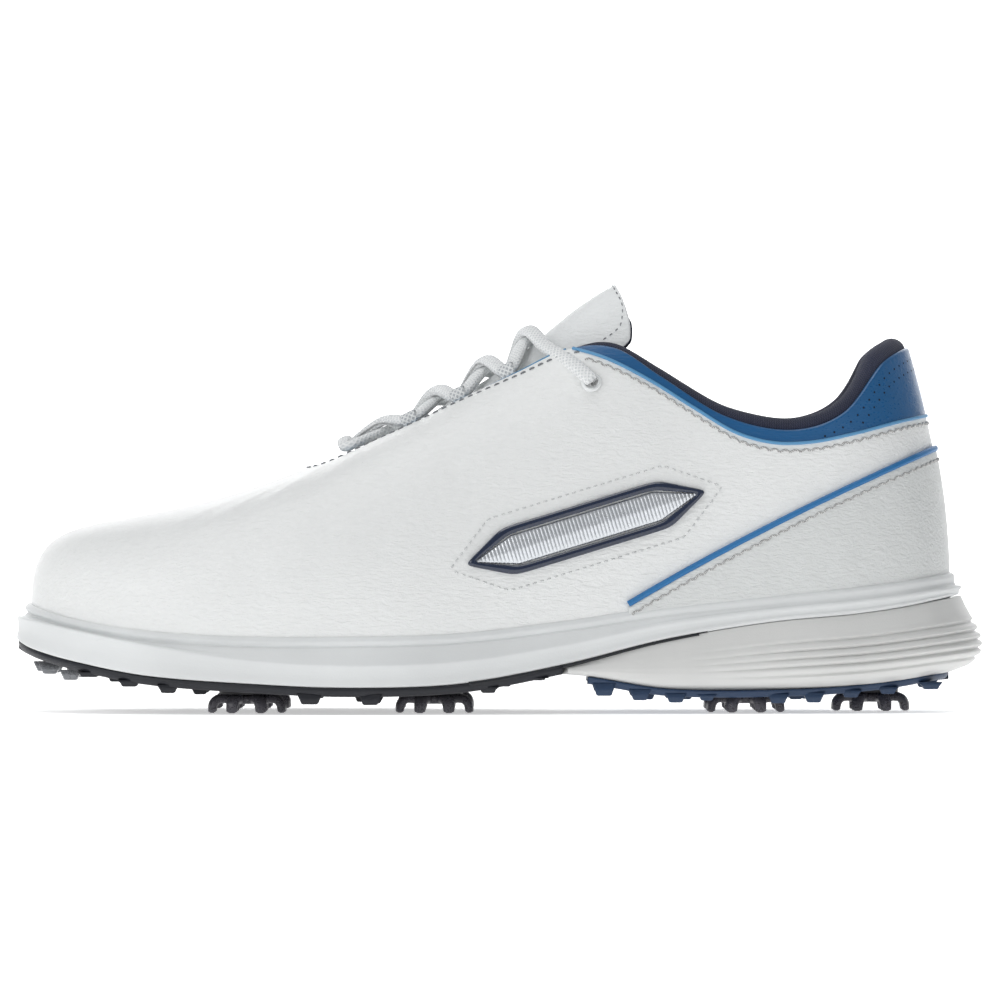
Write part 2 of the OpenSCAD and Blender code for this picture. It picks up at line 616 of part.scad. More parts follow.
// The light blue strip over the seam between quarter and panel.
module collar_binding() {
    color("cornflowerblue") layer(collar_cols, function(u) panel_v(u) - 0.018,
        function(u) panel_v(u) + 0.018, 1, 3 * gap, 0.8);
}

// Centre line of the padded roll, just inside the top edge.
function roll_at(u) =
    let (p = rib(u), inward = off_skin(u, 0.97, -leather_t - collar_r - gap) - skin(u, 0.97))
    p[3] + inward - [0, 0, 1.6];
roll_start = 9.3;               // upper station where the padded roll begins
roll_n = 30;
roll_path = [for (u = columns(roll_start, upper_turn - roll_start, roll_n)) roll_at(u)];
foam_r = collar_r - lining_t - gap;

module collar_foam() {
    color("khaki") tube(roll_path, foam_r, 8);
}

// The navy textile that wraps the foam: a tube with an open inside.
module collar_lining() {
    color([0.14, 0.15, 0.26]) difference() {
        tube(roll_path, collar_r, 10);
        tube(concat([2 * roll_path[0] - roll_path[1]], roll_path,
            [2 * roll_path[roll_n] - roll_path[roll_n - 1]]), foam_r + gap, 8);
    }
}

// The textile lining inside the vamp and quarters.
module upper_lining() {
    color("lightslategray") difference() {
        layer(all_columns, function(u) 0.01, function(u) lining_v(u), shell_n,
            lining_out - lining_t, lining_out, true);
        eyelet_holes();
    }
}

// Stiffeners between leather and lining.
module stiffener(cols, low, high, rows) {
    layer(cols, low, high, rows, -leather_t + gap - stiffener_t, -leather_t - 2.5 * gap);
}
module heel_counter() {
    color("tan") stiffener(shared_columns(9, upper_turn - 9), function(u) 0.03, function(u) 0.6, 5);
}
module toe_puff() {
    color("tan") stiffener(shared_columns(-3, 3), function(u) 0.111, function(u) 0.443, 3);
}
module eyestay_stiffener() {
    color("tan") difference() {
        union() {
            stiffener(shared_columns(2.2, 7.9), function(u) 0.84, function(u) 0.985, 1);
            stiffener(shared_columns(upper_turn - 7.9, upper_turn - 2.2), function(u) 0.84,
                function(u) 0.985, 1);
        }
        eyelet_holes();
    }
}

// The thin blue edge that shows along the throat, wrapped over the leather's edge.
module eyestay_underlay() {
    color([0.3, 0.55, 0.8]) for (sign = [-1, 1]) {
        us = columns(3, 7.9, 12);
        edge = [for (u = us) let (w = sign < 0 ? u : upper_turn - u, p = rib(w),
            q = off_skin(w, 0.995, -leather_t / 2))
            q + unit(p[3] - on_rib(p, 0.97)) * 1.1];
        tube(edge, 0.5, 6);
    }
}

// ---- tongue -------------------------------------------------------------------------------

// Tongue stations from root to tip: centre x, centre z, half width, drop of the edges.
TONGUE = [[-63, 68.6, 12, 5], [-55, 72.4, 15, 8], [-46, 77.3, 17, 12], [-36, 83.3, 19, 15],
    [-20, 93, 21, 17], [-2, 104, 21.5, 17], [8, 111.5, 20, 17], [16, 118.3, 17.5, 16],
    [24, 124.8, 16, 17], [31.5, 129.8, 13.5, 16.5], [36.5, 132.6, 9, 9]];
tongue_last = len(TONGUE) - 1;
function tongue_row(a) =
    let (i = min(floor(a), tongue_last - 1), t = a - i)
    spline(TONGUE[max(i - 1, 0)], TONGUE[i], TONGUE[i + 1], TONGUE[min(i + 2, tongue_last)], t);
// A point of the tongue: a runs from root to tip, b from -1 to 1 across, d is depth below.
function tongue_at(a, b, d) =
    let (r = tongue_row(a), q = tongue_row(a + 0.05), dir = unit([q[0] - r[0], 0, q[1] - r[1]]),
        up = [-dir[2], 0, dir[0]], c = [r[0] * kx, 0, r[1]])
    c + [0, r[2] * b * ky, 0] - up * (r[3] * b * b + d);
// All layers share their facets, which are half a station long and a sixth of the half width.
module tongue_layer(a0, a1, b_n, top, bottom) {
    as = [for (i = [2 * a0:2 * a1]) min(i / 2, tongue_last - 0.06)];
    bs = [for (i = [-b_n:b_n]) i / 6];
    outer = [for (a = as) [for (b = bs) tongue_at(a, b, top)]];
    inner = [for (a = as) [for (b = bs) tongue_at(a, b, bottom)]];
    plate(outer, inner);
}
tongue_skin_t = 1.2;
tongue_foam_t = 3.2;
module tongue() {
    color("white") tongue_layer(0, tongue_last, 6, 0, tongue_skin_t);
}
module tongue_foam() {
    color("khaki") tongue_layer(1.5, tongue_last - 0.5, 5, tongue_skin_t + gap,
        tongue_skin_t + gap + tongue_foam_t);
}
module tongue_lining() {
    color([0.14, 0.15, 0.26]) tongue_layer(0.5, tongue_last - 0.5, 6,
        tongue_skin_t + 2 * gap + tongue_foam_t, tongue_skin_t + 2 * gap + tongue_foam_t + 0.8);
}

// ---- lacing -------------------------------------------------------------------------------

// Lace turns beside the throat edge, from the bottom bar up: x, y outward and z.
TURNS = [[-46, 7.4, 82.6], [-27, 11.4, 90.4], [-12, 14, 97.8], [3, 16.8, 105.2]];
// Lace crossings over the tongue: x, height of the lower and of the upper strand.
CROSSINGS = [[-36, 86.6, 90], [-19.5, 96.2, 99.6], [-4.5, 105.4, 108.8], [8.5, 114.6, 118]];
loop_r = lace_d / 2 + 0.3;      // inside radius of a lace loop
loop_t = 0.8;

function turn_at(k, sign) = [TURNS[k][0] * kx, sign * TURNS[k][1] * ky, TURNS[k][2]];
// One half of the lace, from the bottom bar on side -start up to the eyelet.
function half_route(start) =
    let (u = start > 0 ? upper_turn - eyelet_uv[0] : eyelet_uv[0], e = off_skin(u, eyelet_uv[1], 2.3),
        inside = off_skin(u, eyelet_uv[1], -wall_t - move_gap))
    concat([for (k = [0:3])
            let (sign = k % 2 == 0 ? start : -start, c = CROSSINGS[k], high = k % 2 == 0 ? start : -start)
            each [turn_at(k, sign), [c[0] * kx, 0, high > 0 ? c[2] : c[1]]]],
        [[15 * kx, start * 16 * ky, 112.6], [21.5 * kx, start * 25.4 * ky, 108.6], e, inside]);

module lace() {
    bar = [[-47.5 * kx, 0, 84]];
    east = half_route(1);
    west = half_route(-1);
    back = [for (i = [len(west) - 1:-1:0]) west[i]];
    color("white") tube(smooth_path(concat(back, bar, east), 3), lace_d / 2, 8);
}

// Webbing loops that hold the lace's turns under the eyestay's edge.
module lace_loops(sign) {
    color("ghostwhite") for (k = [1:3]) {
        at = turn_at(k, sign);
        aim(at, [1, sign * 0.18, 0.52]) difference() {
            translate([0, 0, -2]) cylinder(r = loop_r + loop_t, h = 4);
            translate([0, 0, -3]) cylinder(r = loop_r, h = 6);
        }
    }
}
module lace_loops_lateral() { lace_loops(-1); }
module lace_loops_medial() { lace_loops(1); }

// A punched eyelet: barrel through the wall with a flange on the outside.
module eyelet(sign) {
    color("white") at_eyelet(sign) difference() {
        union() {
            translate([0, 0, gap]) cylinder(r = 3.2, h = 0.7);
            translate([0, 0, -wall_t]) cylinder(r = eyelet_r + 0.65, h = wall_t + 0.5);
        }
        translate([0, 0, -wall_t - 1]) cylinder(r = eyelet_r, h = wall_t + 3);
    }
}
module eyelet_lateral() { eyelet(-1); }
module eyelet_medial() { eyelet(1); }

// Free lace ends tucked inside: from the lateral or medial eyelet down the wall, forward over
// the insole, round and back; y is given outward.
TAIL_TOP = [[[29, 26.6, 100.1], [29, 23.8, 98], [29, 22.4, 94]],
    [[29, 24.6, 100.6], [29, 22, 99.1], [29, 20.7, 95]]];
TAIL = [[29, 21.4, 84], [28.8, 23.2, 70], [28, 24.6, 56], [26, 25.2, 44], [21, 25.4, 35],
    [13, 25.8, 30.6], [0, 27, 27.8], [-20, 30, 25.9], [-40, 32, 25.3], [-60, 32, 25.2],
    [-76, 30.5, 25.3], [-88, 25, 25.6], [-92, 17, 25.8], [-88, 9, 25.6], [-76, 4.5, 25.3],
    [-60, 4, 25.2], [-44, 5, 25.3], [-30, 6, 25.6]];
function tail_route(sign) =
    [for (p = concat(TAIL_TOP[sign < 0 ? 0 : 1], TAIL)) [p[0] * kx, sign * p[1] * ky, p[2]]];
module lace_tail(sign) {
    color("white") tube(smooth_path(tail_route(sign), 2), lace_d / 2, 8);
}
module lace_tail_lateral() { lace_tail(-1); }
module lace_tail_medial() { lace_tail(1); }

// The hard tip on a lace end.
module aglet(sign) {
    route = tail_route(sign);
    last = len(route) - 1;
    color("white") aim(route[last], route[last] - route[last - 1])
        translate([0, 0, 0.05]) cylinder(r = lace_d / 2 + 0.05, h = aglet_len);
}
module aglet_lateral() { aglet(-1); }
module aglet_medial() { aglet(1); }

// ---- side emblem --------------------------------------------------------------------------

// A plain elongated six-sided plaque, tilted to follow the quarter.
emblem_c = [27, 57];
emblem_len = 78;
emblem_w = 15;
emblem_tilt = 17;
emblem_point = 13;              // length of its pointed ends
EMBLEM = [[-0.5, 0], [-0.32, 0.5], [0, 0.5], [0.32, 0.5], [0.5, 0], [0.32, -0.5], [0, -0.5],
    [-0.32, -0.5]];
function emblem_point_at(k, shrink) =
    let (n = len(EMBLEM), p = EMBLEM[k % n], x = p[0] * (emblem_len - 2.4 * shrink),
        z = p[1] * (emblem_w - 2 * shrink))
    [emblem_c[0] + x * cos(emblem_tilt) - z * sin(emblem_tilt),
        emblem_c[1] + x * sin(emblem_tilt) + z * cos(emblem_tilt)];
function emblem_on(sign, q, depth) =
    let (start = find_uv(q[0] * kx, q[1], 6.9, 0.45), u = sign < 0 ? start[0] : upper_turn - start[0])
    off_skin(u, start[1], depth);
function between(k, shrink) =
    [for (t = [0, 0.5]) (1 - t) * emblem_point_at(k, shrink) + t * emblem_point_at(k + 1, shrink)];
function emblem_loop(shrink) = [for (k = [0:len(EMBLEM) - 1]) each between(k, shrink)];

module emblem_rim(sign) {
    outer_loop = emblem_loop(0);
    inner_loop = emblem_loop(2.4);
    n = len(outer_loop);
    order = sign < 0 ? [for (i = [0:n - 1]) i] : [for (i = [n - 1:-1:0]) i];
    top = [for (i = order) [emblem_on(sign, inner_loop[i], 1.5), emblem_on(sign, outer_loop[i], 1.3)]];
    low = [for (i = order) [emblem_on(sign, inner_loop[i], gap), emblem_on(sign, outer_loop[i], gap)]];
    color([0.12, 0.14, 0.3]) plate(top, low, true);
}
module emblem_inlay(sign) {
    loop = emblem_loop(3);
    n = len(loop);
    rows = [for (k = [1:n / 2 - 1]) [loop[k], loop[n - k]]];
    // Wide rows between the two pointed ends, closed by short rows at the tips.
    ends = [[loop[0] + [1.6, 0.3], loop[0] + [1.6, -0.3]]];
    tips = [[loop[n / 2] + [-1.6, 0.3], loop[n / 2] + [-1.6, -0.3]]];
    list = concat(ends, rows, tips);
    function side(d) = [for (r = list)
        sign < 0 ? [for (t = [1, 0.5, 0]) emblem_on(sign, t * r[1] + (1 - t) * r[0], t == 0.5 ? d * 1.3 : d)]
            : [for (t = [0, 0.5, 1]) emblem_on(sign, t * r[1] + (1 - t) * r[0], t == 0.5 ? d * 1.3 : d)]];
    color("silver") plate(side(0.8), side(gap));
}
module emblem_rim_lateral() { emblem_rim(-1); }
module emblem_rim_medial() { emblem_rim(1); }
module emblem_inlay_lateral() { emblem_inlay(-1); }
module emblem_inlay_medial() { emblem_inlay(1); }

// ---- parts --------------------------------------------------------------------------------

midsole();
heel_carrier();
midfoot_shank();
air_cushion();
outsole_forefoot();
outsole_heel();
toe_lugs();
cleat_sockets();
cleat_1();
cleat_2();
cleat_3();
cleat_4();
cleat_5();
cleat_6();
cleat_7();
lasting_board();
insole();
vamp_quarter();
heel_overlay();
heel_piping();
collar_panel();
collar_binding();
collar_foam();
collar_lining();
upper_lining();
heel_counter();
toe_puff();
eyestay_stiffener();
eyestay_underlay();
tongue();
tongue_foam();
tongue_lining();
lace_loops_lateral();
lace_loops_medial();
eyelet_lateral();
eyelet_medial();
lace();
lace_tail_lateral();
lace_tail_medial();
aglet_lateral();
aglet_medial();
emblem_rim_lateral();
emblem_inlay_lateral();
emblem_rim_medial();
emblem_inlay_medial();
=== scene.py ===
import math

import bpy
import numpy as np
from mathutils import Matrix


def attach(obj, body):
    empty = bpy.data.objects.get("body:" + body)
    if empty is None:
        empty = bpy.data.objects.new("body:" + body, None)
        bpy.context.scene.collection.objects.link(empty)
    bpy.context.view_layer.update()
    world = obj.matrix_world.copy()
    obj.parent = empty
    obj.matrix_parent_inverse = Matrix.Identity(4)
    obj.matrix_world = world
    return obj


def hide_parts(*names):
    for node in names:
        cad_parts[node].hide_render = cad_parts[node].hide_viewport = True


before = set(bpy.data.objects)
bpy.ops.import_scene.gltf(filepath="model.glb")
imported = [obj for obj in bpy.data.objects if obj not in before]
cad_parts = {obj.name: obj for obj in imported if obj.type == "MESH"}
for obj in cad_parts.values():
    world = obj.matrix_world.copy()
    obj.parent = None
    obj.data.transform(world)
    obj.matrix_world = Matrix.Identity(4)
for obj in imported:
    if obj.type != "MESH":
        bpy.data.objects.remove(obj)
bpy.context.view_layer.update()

# Lengths in this script are millimetres in the CAD's own frame; MM turns them into metres.
MM = 0.001
STEP = 0.01            # parameter step of the finite differences
LATERAL, MEDIAL = -1, 1
BOTH = ((LATERAL, "lateral"), (MEDIAL, "medial"))

# ---- shape of the shoe: the same stations and formulas as the CAD model ---------------------

# x, lateral y, medial y, insets of the upper, groove, crest and lower edge, then heights of the
# upper's edge, the crest, the midsole's lower edge and the heel carrier's underside.
SOLE = np.array([
    [-150, 6, 6, 5.0, 3.0, 0.5, 0.3, 33.7, 29.0, 22.3, 22],
    [-145, -13, 24.5, 4.6, 2.9, 0.4, 0.4, 32.0, 28.2, 19.6, 19],
    [-131, -30, 38, 4.4, 2.9, 0.3, 0.5, 28.7, 25.3, 15.9, 15],
    [-108, -43.5, 48, 4.2, 2.8, 0.1, 0.6, 25.4, 20.9, 11.7, 11],
    [-78, -52, 53, 4.2, 2.8, 0.0, 0.7, 23.9, 16.8, 9.5, 9],
    [-46, -54, 52, 4.2, 2.8, 0.0, 0.8, 23.8, 15.0, 8.2, 8],
    [-12, -50, 44.5, 4.4, 3.0, 0.3, 0.9, 24.8, 16.2, 9.3, 9],
    [20, -45, 38, 4.8, 3.3, 1.2, 1.3, 28.4, 21.0, 15.0, 12.2],
    [52, -41.5, 36, 5.2, 3.6, 2.2, 2.2, 33.1, 27.6, 22.9, 7.8],
    [84, -40, 37, 6.2, 4.3, 3.1, 3.2, 36.5, 31.8, 28.2, 7.4],
    [113, -37.5, 35.5, 7.8, 5.4, 4.2, 4.4, 39.2, 34.5, 30.9, 8.8],
    [138, -26.5, 26.5, 9.8, 7.2, 5.6, 6.0, 42.0, 37.4, 34.4, 11.3],
    [150, 0, 0, 10.8, 8.2, 6.2, 6.8, 43.3, 38.6, 36.2, 12.4]])

# Place along the sole, top edge x, y outward, z, lower handle's swell and height, upper handle's
# inward share, swell and height, where the collar panel starts, where the lining stops.
UPPER = np.array([
    [0.0, -57.0, 0.0, 76.6, 1.8, 0.88, 0.27, 0.0, 0.42, 1.00, 0.96],
    [0.9, -56.8, 3.8, 76.6, 1.9, 0.84, 0.27, 0.0, 0.45, 1.00, 0.96],
    [1.8, -55.3, 7.0, 76.8, 2.1, 0.74, 0.28, 0.0, 0.53, 1.00, 0.95],
    [2.7, -51.0, 9.4, 78.2, 2.4, 0.62, 0.31, 0.0, 0.64, 1.00, 0.94],
    [3.5, -42.0, 11.6, 82.2, 2.6, 0.52, 0.35, 0.0, 0.74, 1.00, 0.93],
    [4.4, -28.0, 14.4, 88.8, 2.8, 0.44, 0.40, 1.0, 0.81, 1.00, 0.93],
    [5.3, -12.0, 17.2, 96.6, 3.0, 0.40, 0.45, 2.0, 0.83, 1.00, 0.92],
    [6.2, 5.0, 20.2, 104.6, 3.0, 0.37, 0.48, 3.5, 0.83, 1.00, 0.91],
    [7.0, 21.5, 23.5, 112.0, 3.0, 0.36, 0.50, 5.0, 0.82, 0.99, 0.87],
    [7.6, 36.0, 26.5, 112.2, 2.8, 0.36, 0.52, 4.0, 0.80, 0.91, 0.82],
    [8.2, 51.0, 29.5, 102.8, 2.5, 0.36, 0.55, 3.0, 0.77, 0.93, 0.80],
    [8.8, 70.0, 31.8, 91.0, 2.2, 0.35, 0.58, 2.0, 0.74, 0.925, 0.77],
    [9.5, 90.0, 32.0, 86.7, 2.0, 0.35, 0.60, 1.0, 0.72, 0.92, 0.76],
    [10.2, 106.5, 28.8, 92.0, 1.6, 0.34, 0.56, 0.5, 0.71, 0.87, 0.78],
    [11.1, 118.8, 19.0, 107.2, 1.0, 0.33, 0.50, 0.0, 0.70, 0.71, 0.82],
    [12.0, 127.3, 0.0, 112.6, 0.7, 0.33, 0.45, 0.0, 0.70, 0.69, 0.83]])

SOLE_END = len(SOLE) - 1
UPPER_END = len(UPPER) - 1
SOLE_TURN = 2 * SOLE_END
UPPER_TURN = 2 * UPPER_END
RIM = 5.0              # how far the upper's foot sits below the midsole's rim
LEATHER = 1.6
ROLL_R = 4.2           # padded collar roll

# Columns of a sole row after x and y.
UP_IN, GROOVE_IN, CREST_IN, EDGE_IN, UP_Z, CREST_Z, EDGE_Z, HEEL_Z = range(8)


def mirrored(rows, columns):
    """Stations of one side, followed by those of the other side on the way back."""
    back = rows[-2:0:-1]
    return np.array([columns(r, False) for r in rows] + [columns(r, True) for r in back])


SOLE_RING = mirrored(SOLE, lambda r, medial: [r[0], r[2] if medial else r[1], *r[3:]])
UPPER_RING = mirrored(UPPER, lambda r, medial: [
    SOLE_TURN - r[0] if medial else r[0], r[1], r[2] if medial else -r[2], *r[3:]])


def spline(a, b, c, d, t):
    return 0.5 * (2 * b + (c - a) * t + (2 * a - 5 * b + 4 * c - d) * t * t
                  + (3 * b - a - 3 * c + d) * t ** 3)


def ring_row(ring, s, grow=0):
    """Smooth row of a closed ring at parameter s; column 0 grows by `grow` with each turn."""
    s = np.asarray(s, float)
    i = np.floor(s).astype(int)
    t = (s - i)[..., None]

    def at(k):
        row = ring[np.mod(k, len(ring))].copy()
        row[..., 0] += grow * np.floor(k / len(ring))
        return row
    return spline(at(i - 1), at(i), at(i + 1), at(i + 2), t)


def unit(v):
    return v / np.maximum(np.linalg.norm(v, axis=-1, keepdims=True), 1e-9)


def smooth(x, a, b):
    t = np.clip((np.asarray(x, float) - a) / (b - a), 0, 1)
    return t * t * (3 - 2 * t)


def around(n):
    """n even angles of a full turn."""
    return np.linspace(0, 2 * math.pi, n, endpoint=False)


def signed_power(x, power):
    return np.sign(x) * np.abs(x) ** power


def sole_row(s):
    return ring_row(SOLE_RING, s)


def outward(s):
    d = unit(sole_row(s + STEP)[..., :2] - sole_row(s - STEP)[..., :2])
    return np.stack([d[..., 1], -d[..., 0]], -1)


def xyz(x, y, z):
    return np.stack(np.broadcast_arrays(np.asarray(x, float), y, z), -1)


def rib(u):
    """The four Bezier points of the upper's ribs at u."""
    u = np.asarray(u, float)
    r = ring_row(UPPER_RING, u, SOLE_TURN)
    row, n = sole_row(r[..., 0]), outward(r[..., 0])
    inset = row[..., 2 + UP_IN]
    foot = xyz(row[..., 0] - n[..., 0] * inset, row[..., 1] - n[..., 1] * inset,
               row[..., 2 + UP_Z] - RIM)
    top = r[..., 1:4]
    rise = (top - foot)[..., 2]
    level = (top - foot) * np.array([1, 1, 0])
    out = xyz(n[..., 0], n[..., 1], 0)
    up = np.array([0, 0, 1.0])
    low = foot + out * r[..., 4:5] + up * (r[..., 5] * rise)[..., None]
    high = foot + level * r[..., 6:7] + out * r[..., 7:8] + up * (r[..., 8] * rise)[..., None]
    return foot, low, high, top


def on_rib(p, v):
    v = np.asarray(v, float)[..., None]
    return p[0] * (1 - v) ** 3 + 3 * p[1] * v * (1 - v) ** 2 + 3 * p[2] * v * v * (1 - v) + p[3] * v ** 3


def skin(u, v, d=0.0):
    """Points of the upper's outer surface, d outside it."""
    here, after = rib(u), rib(np.asarray(u, float) + STEP)
    p = on_rib(here, v)
    n = unit(np.cross(on_rib(after, v) - p, on_rib(here, np.asarray(v, float) + STEP) - p))
    return p + n * np.asarray(d, float)[..., None]


def skin_normal(u, v):
    return unit(skin(u, v, 1.0) - skin(u, v))


def other_side(u):
    return UPPER_TURN - np.asarray(u, float)


def find_uv(x, z, u0=7.0, v0=0.5):
    """Places on the lateral side at given x and z, by Newton's method."""
    x, z = np.broadcast_arrays(np.asarray(x, float), z)
    u, v = np.full(x.shape, u0, float), np.full(x.shape, v0, float)
    for _ in range(12):
        p = skin(u, v)
        a, b = (skin(u + STEP, v) - p) / STEP, (skin(u, v + STEP) - p) / STEP
        det = a[..., 0] * b[..., 2] - b[..., 0] * a[..., 2]
        ex, ez = x - p[..., 0], z - p[..., 2]
        u = u + np.clip((ex * b[..., 2] - b[..., 0] * ez) / det, -1, 1)
        v = np.clip(v + np.clip((a[..., 0] * ez - ex * a[..., 2]) / det, -0.3, 0.3), 0, 1.1)
    return u, v


def crossing_v(u, height, lo=0.0, hi=1.0):
    """Share of each rib at which it crosses the curve z = height(x)."""
    p = rib(u)
    lo, hi = np.full(np.shape(u), lo), np.full(np.shape(u), hi)
    for _ in range(22):
        mid = (lo + hi) / 2
        q = on_rib(p, mid)
        below = q[..., 2] < height(q[..., 0])
        lo, hi = np.where(below, mid, lo), np.where(below, hi, mid)
    return (lo + hi) / 2


def pipe_z(x):
    """Height of the heel piping."""
    t = (np.asarray(x, float) - 36) / 101
    return 30.3 * (1 - t) ** 3 + 3 * 50.6 * t * (1 - t) ** 2 + 3 * 67.7 * t * t * (1 - t) + 81.4 * t ** 3


def pipe_v(u):
    return crossing_v(u, pipe_z)


# Lower edge of the blue collar panel, as height over x.
PANEL_EDGE = np.array([[20, 113], [24, 112], [31.5, 109.8], [46, 102.7], [60, 94], [74, 85.9],
                       [85.5, 83.1], [95.5, 83.3], [109.5, 86], [124, 89.8], [134, 92.0]])


def through(points, x):
    """Smooth curve through points, as a function of their first coordinate."""
    i = np.clip(np.searchsorted(points[:, 0], x, side="right") - 1, 0, len(points) - 2)
    t = (x - points[i, 0]) / (points[i + 1, 0] - points[i, 0])
    slope = np.gradient(points[:, 1], points[:, 0])
    h = points[i + 1, 0] - points[i, 0]
    a, b = points[i, 1], points[i + 1, 1]
    return ((2 * t ** 3 - 3 * t * t + 1) * a + (t ** 3 - 2 * t * t + t) * h * slope[i]
            + (3 * t * t - 2 * t ** 3) * b + (t ** 3 - t * t) * h * slope[i + 1])


COLLAR_U = 8.1         # where the collar panel starts and, mirrored, ends


def panel_v(u):
    """Share of each rib at which the blue collar panel starts."""
    u = np.asarray(u, float)
    v = crossing_v(u, lambda x: through(PANEL_EDGE, np.clip(x, 20, 134)), 0.5, 1.0)
    side = np.minimum(u, UPPER_TURN - u)
    return np.where(side < COLLAR_U, 1.0, v)


def lining_v(u):
    return ring_row(UPPER_RING, u, SOLE_TURN)[..., 10]


# ---- meshes ---------------------------------------------------------------------------------

def mesh(name, points, faces, material, slot, body="root", uv=None, replaces=()):
    """A piece from points in millimetres: its mesh, material and body; slot is not used."""
    data = bpy.data.meshes.new(name)
    data.from_pydata((np.asarray(points, float).reshape(-1, 3) * MM).tolist(), [], faces)
    if uv is not None:
        layer = data.uv_layers.new(name="UVMap")
        index = np.empty(len(data.loops), int)
        data.loops.foreach_get("vertex_index", index)
        layer.data.foreach_set("uv", np.asarray(uv, float).reshape(-1, 2)[index].ravel())
    data.polygons.foreach_set("use_smooth", [True] * len(data.polygons))
    data.validate()
    data.materials.append(material)
    piece = bpy.data.objects.new(name, data)
    bpy.context.scene.collection.objects.link(piece)
    if body:
        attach(piece, body)
    if replaces:
        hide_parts(*replaces)
    return piece


def grid_faces(n, m, wrap_n=False, wrap_m=False, flip=False):
    """Quads of an n by m grid of points, rows first."""
    i = np.arange(n if wrap_n else n - 1)[:, None]
    j = np.arange(m if wrap_m else m - 1)[None, :]
    a, b = i * m + j, i * m + (j + 1) % m
    c, d = ((i + 1) % n) * m + (j + 1) % m, ((i + 1) % n) * m + j
    quads = np.stack(np.broadcast_arrays(a, b, c, d), -1).reshape(-1, 4)
    return (quads[:, ::-1] if not flip else quads).tolist()


def grid_uv(points):
    """Texture coordinates in metres along the grid's two directions."""
    along = np.linalg.norm(np.diff(points, axis=0), axis=-1).mean(1)
    across = np.linalg.norm(np.diff(points, axis=1), axis=-1).mean(0)
    a, b = np.concatenate([[0], np.cumsum(along)]), np.concatenate([[0], np.cumsum(across)])
    return np.stack(np.meshgrid(a, b, indexing="ij"), -1) * MM


def fans(n, m, wrap_n, flip=False):
    """End caps of an open grid whose rows are closed loops."""
    if wrap_n:
        return []
    first, last = list(range(m)), list(range((n - 1) * m, n * m))
    return [first, last[::-1]] if not flip else [first[::-1], last]


def repeated(faces, count, size):
    """The same faces for each of `count` runs of `size` points."""
    return [[k * size + i for i in f] for k in range(count) for f in faces]


def loft(name, points, material, slot, wrap_n=False, wrap_m=False, caps=True, flip=False, **more):
    """A piece from a grid of points; closed rows get end caps."""
    n, m = points.shape[:2]
    faces = grid_faces(n, m, wrap_n, wrap_m, flip)
    if wrap_m and caps:
        faces += fans(n, m, wrap_n, flip)
    return mesh(name, points, faces, material, slot, uv=grid_uv(points), **more)


def sheet_loop(u, low, high, rows, depth_in, depth_out):
    """Places (u, v, depth) of closed loops round a sheet's section: outside up, over the top
    edge, inside down and round the bottom edge, with rounded edges."""
    p = rib(u)
    turn = np.linspace(90, -90, 7)[1:-1] * math.pi / 180
    r, mid = (depth_out - depth_in) / 2, (depth_out + depth_in) / 2
    t = np.linspace(0, 1, rows + 1)

    def speed(v):
        return np.linalg.norm(on_rib(p, v + STEP) - on_rib(p, v), axis=-1) / STEP
    up = r / speed(high)
    down = r / speed(low)
    low, high = low[:, None], high[:, None]
    v = np.concatenate([
        low + (high - low) * t, high + up[:, None] * np.cos(turn),
        high + (low - high) * t, low - down[:, None] * np.cos(turn)], 1)
    depth = np.concatenate([
        np.full(rows + 1, depth_out), mid + r * np.sin(turn),
        np.full(rows + 1, depth_in), mid - r * np.sin(turn)])
    return np.broadcast_to(u[:, None], v.shape), v, np.broadcast_to(depth, v.shape)


def sheet(name, u, low, high, rows, depth_in, depth_out, material, slot, closed=False,
          shape=None, **more):
    """A sheet of leather or cloth that lies on the upper between two heights."""
    low = np.broadcast_to(np.asarray(low, float), u.shape)
    high = np.broadcast_to(np.asarray(high, float), u.shape)
    uu, vv, dd = sheet_loop(u, low, high, rows, depth_in, depth_out)
    if shape is not None:
        dd = dd + shape(uu, vv)
    return loft(name, skin(uu, vv, dd), material, slot, wrap_n=closed, wrap_m=True, **more)


def run(path):
    """Length along a path at each of its points."""
    return np.concatenate([[0], np.cumsum(np.linalg.norm(np.diff(path, axis=0), axis=1))])


def at_run(where, s, values):
    """Rows of values at given lengths."""
    return np.stack([np.interp(where, s, column) for column in np.transpose(values)], 1)


def resample(path, gap):
    """Points at even distances along a path."""
    s = run(path)
    n = max(2, int(round(s[-1] / gap)) + 1)
    return at_run(np.linspace(0, s[-1], n), s, path)


def spline_path(points, n):
    """Smooth path through given points, n steps to each stretch."""
    p = np.asarray(points, float)
    q = np.concatenate([p[:1], p, p[-1:]])
    t = (np.arange(n) / n)[:, None]
    parts = [spline(q[i], q[i + 1], q[i + 2], q[i + 3], t) for i in range(len(p) - 1)]
    return np.concatenate(parts + [p[-1:]])


def path_frames(path, normals):
    """Tangents, sideways vectors and normals along a path."""
    tangent = unit(np.gradient(path, axis=0))
    side = unit(np.cross(tangent, normals))
    return tangent, side, unit(np.cross(side, tangent))


def ribbon(name, path, normals, width, thick, material, slot, sides=16, square=2.6, closed=False,
           **more):
    """A tube with a flattened section, swept along a path with its flat side along normals."""
    _, side, up = path_frames(path, normals)
    a = around(sides)
    c, s = np.cos(a), np.sin(a)
    x = signed_power(c, 2 / square) * width / 2
    y = signed_power(s, 2 / square) * thick / 2
    scale = more.pop("scale", np.ones(len(path)))[:, None, None]
    points = path[:, None] + scale * (side[:, None] * x[None, :, None] + up[:, None] * y[None, :, None])
    return loft(name, points, material, slot, wrap_n=closed, wrap_m=True, **more)


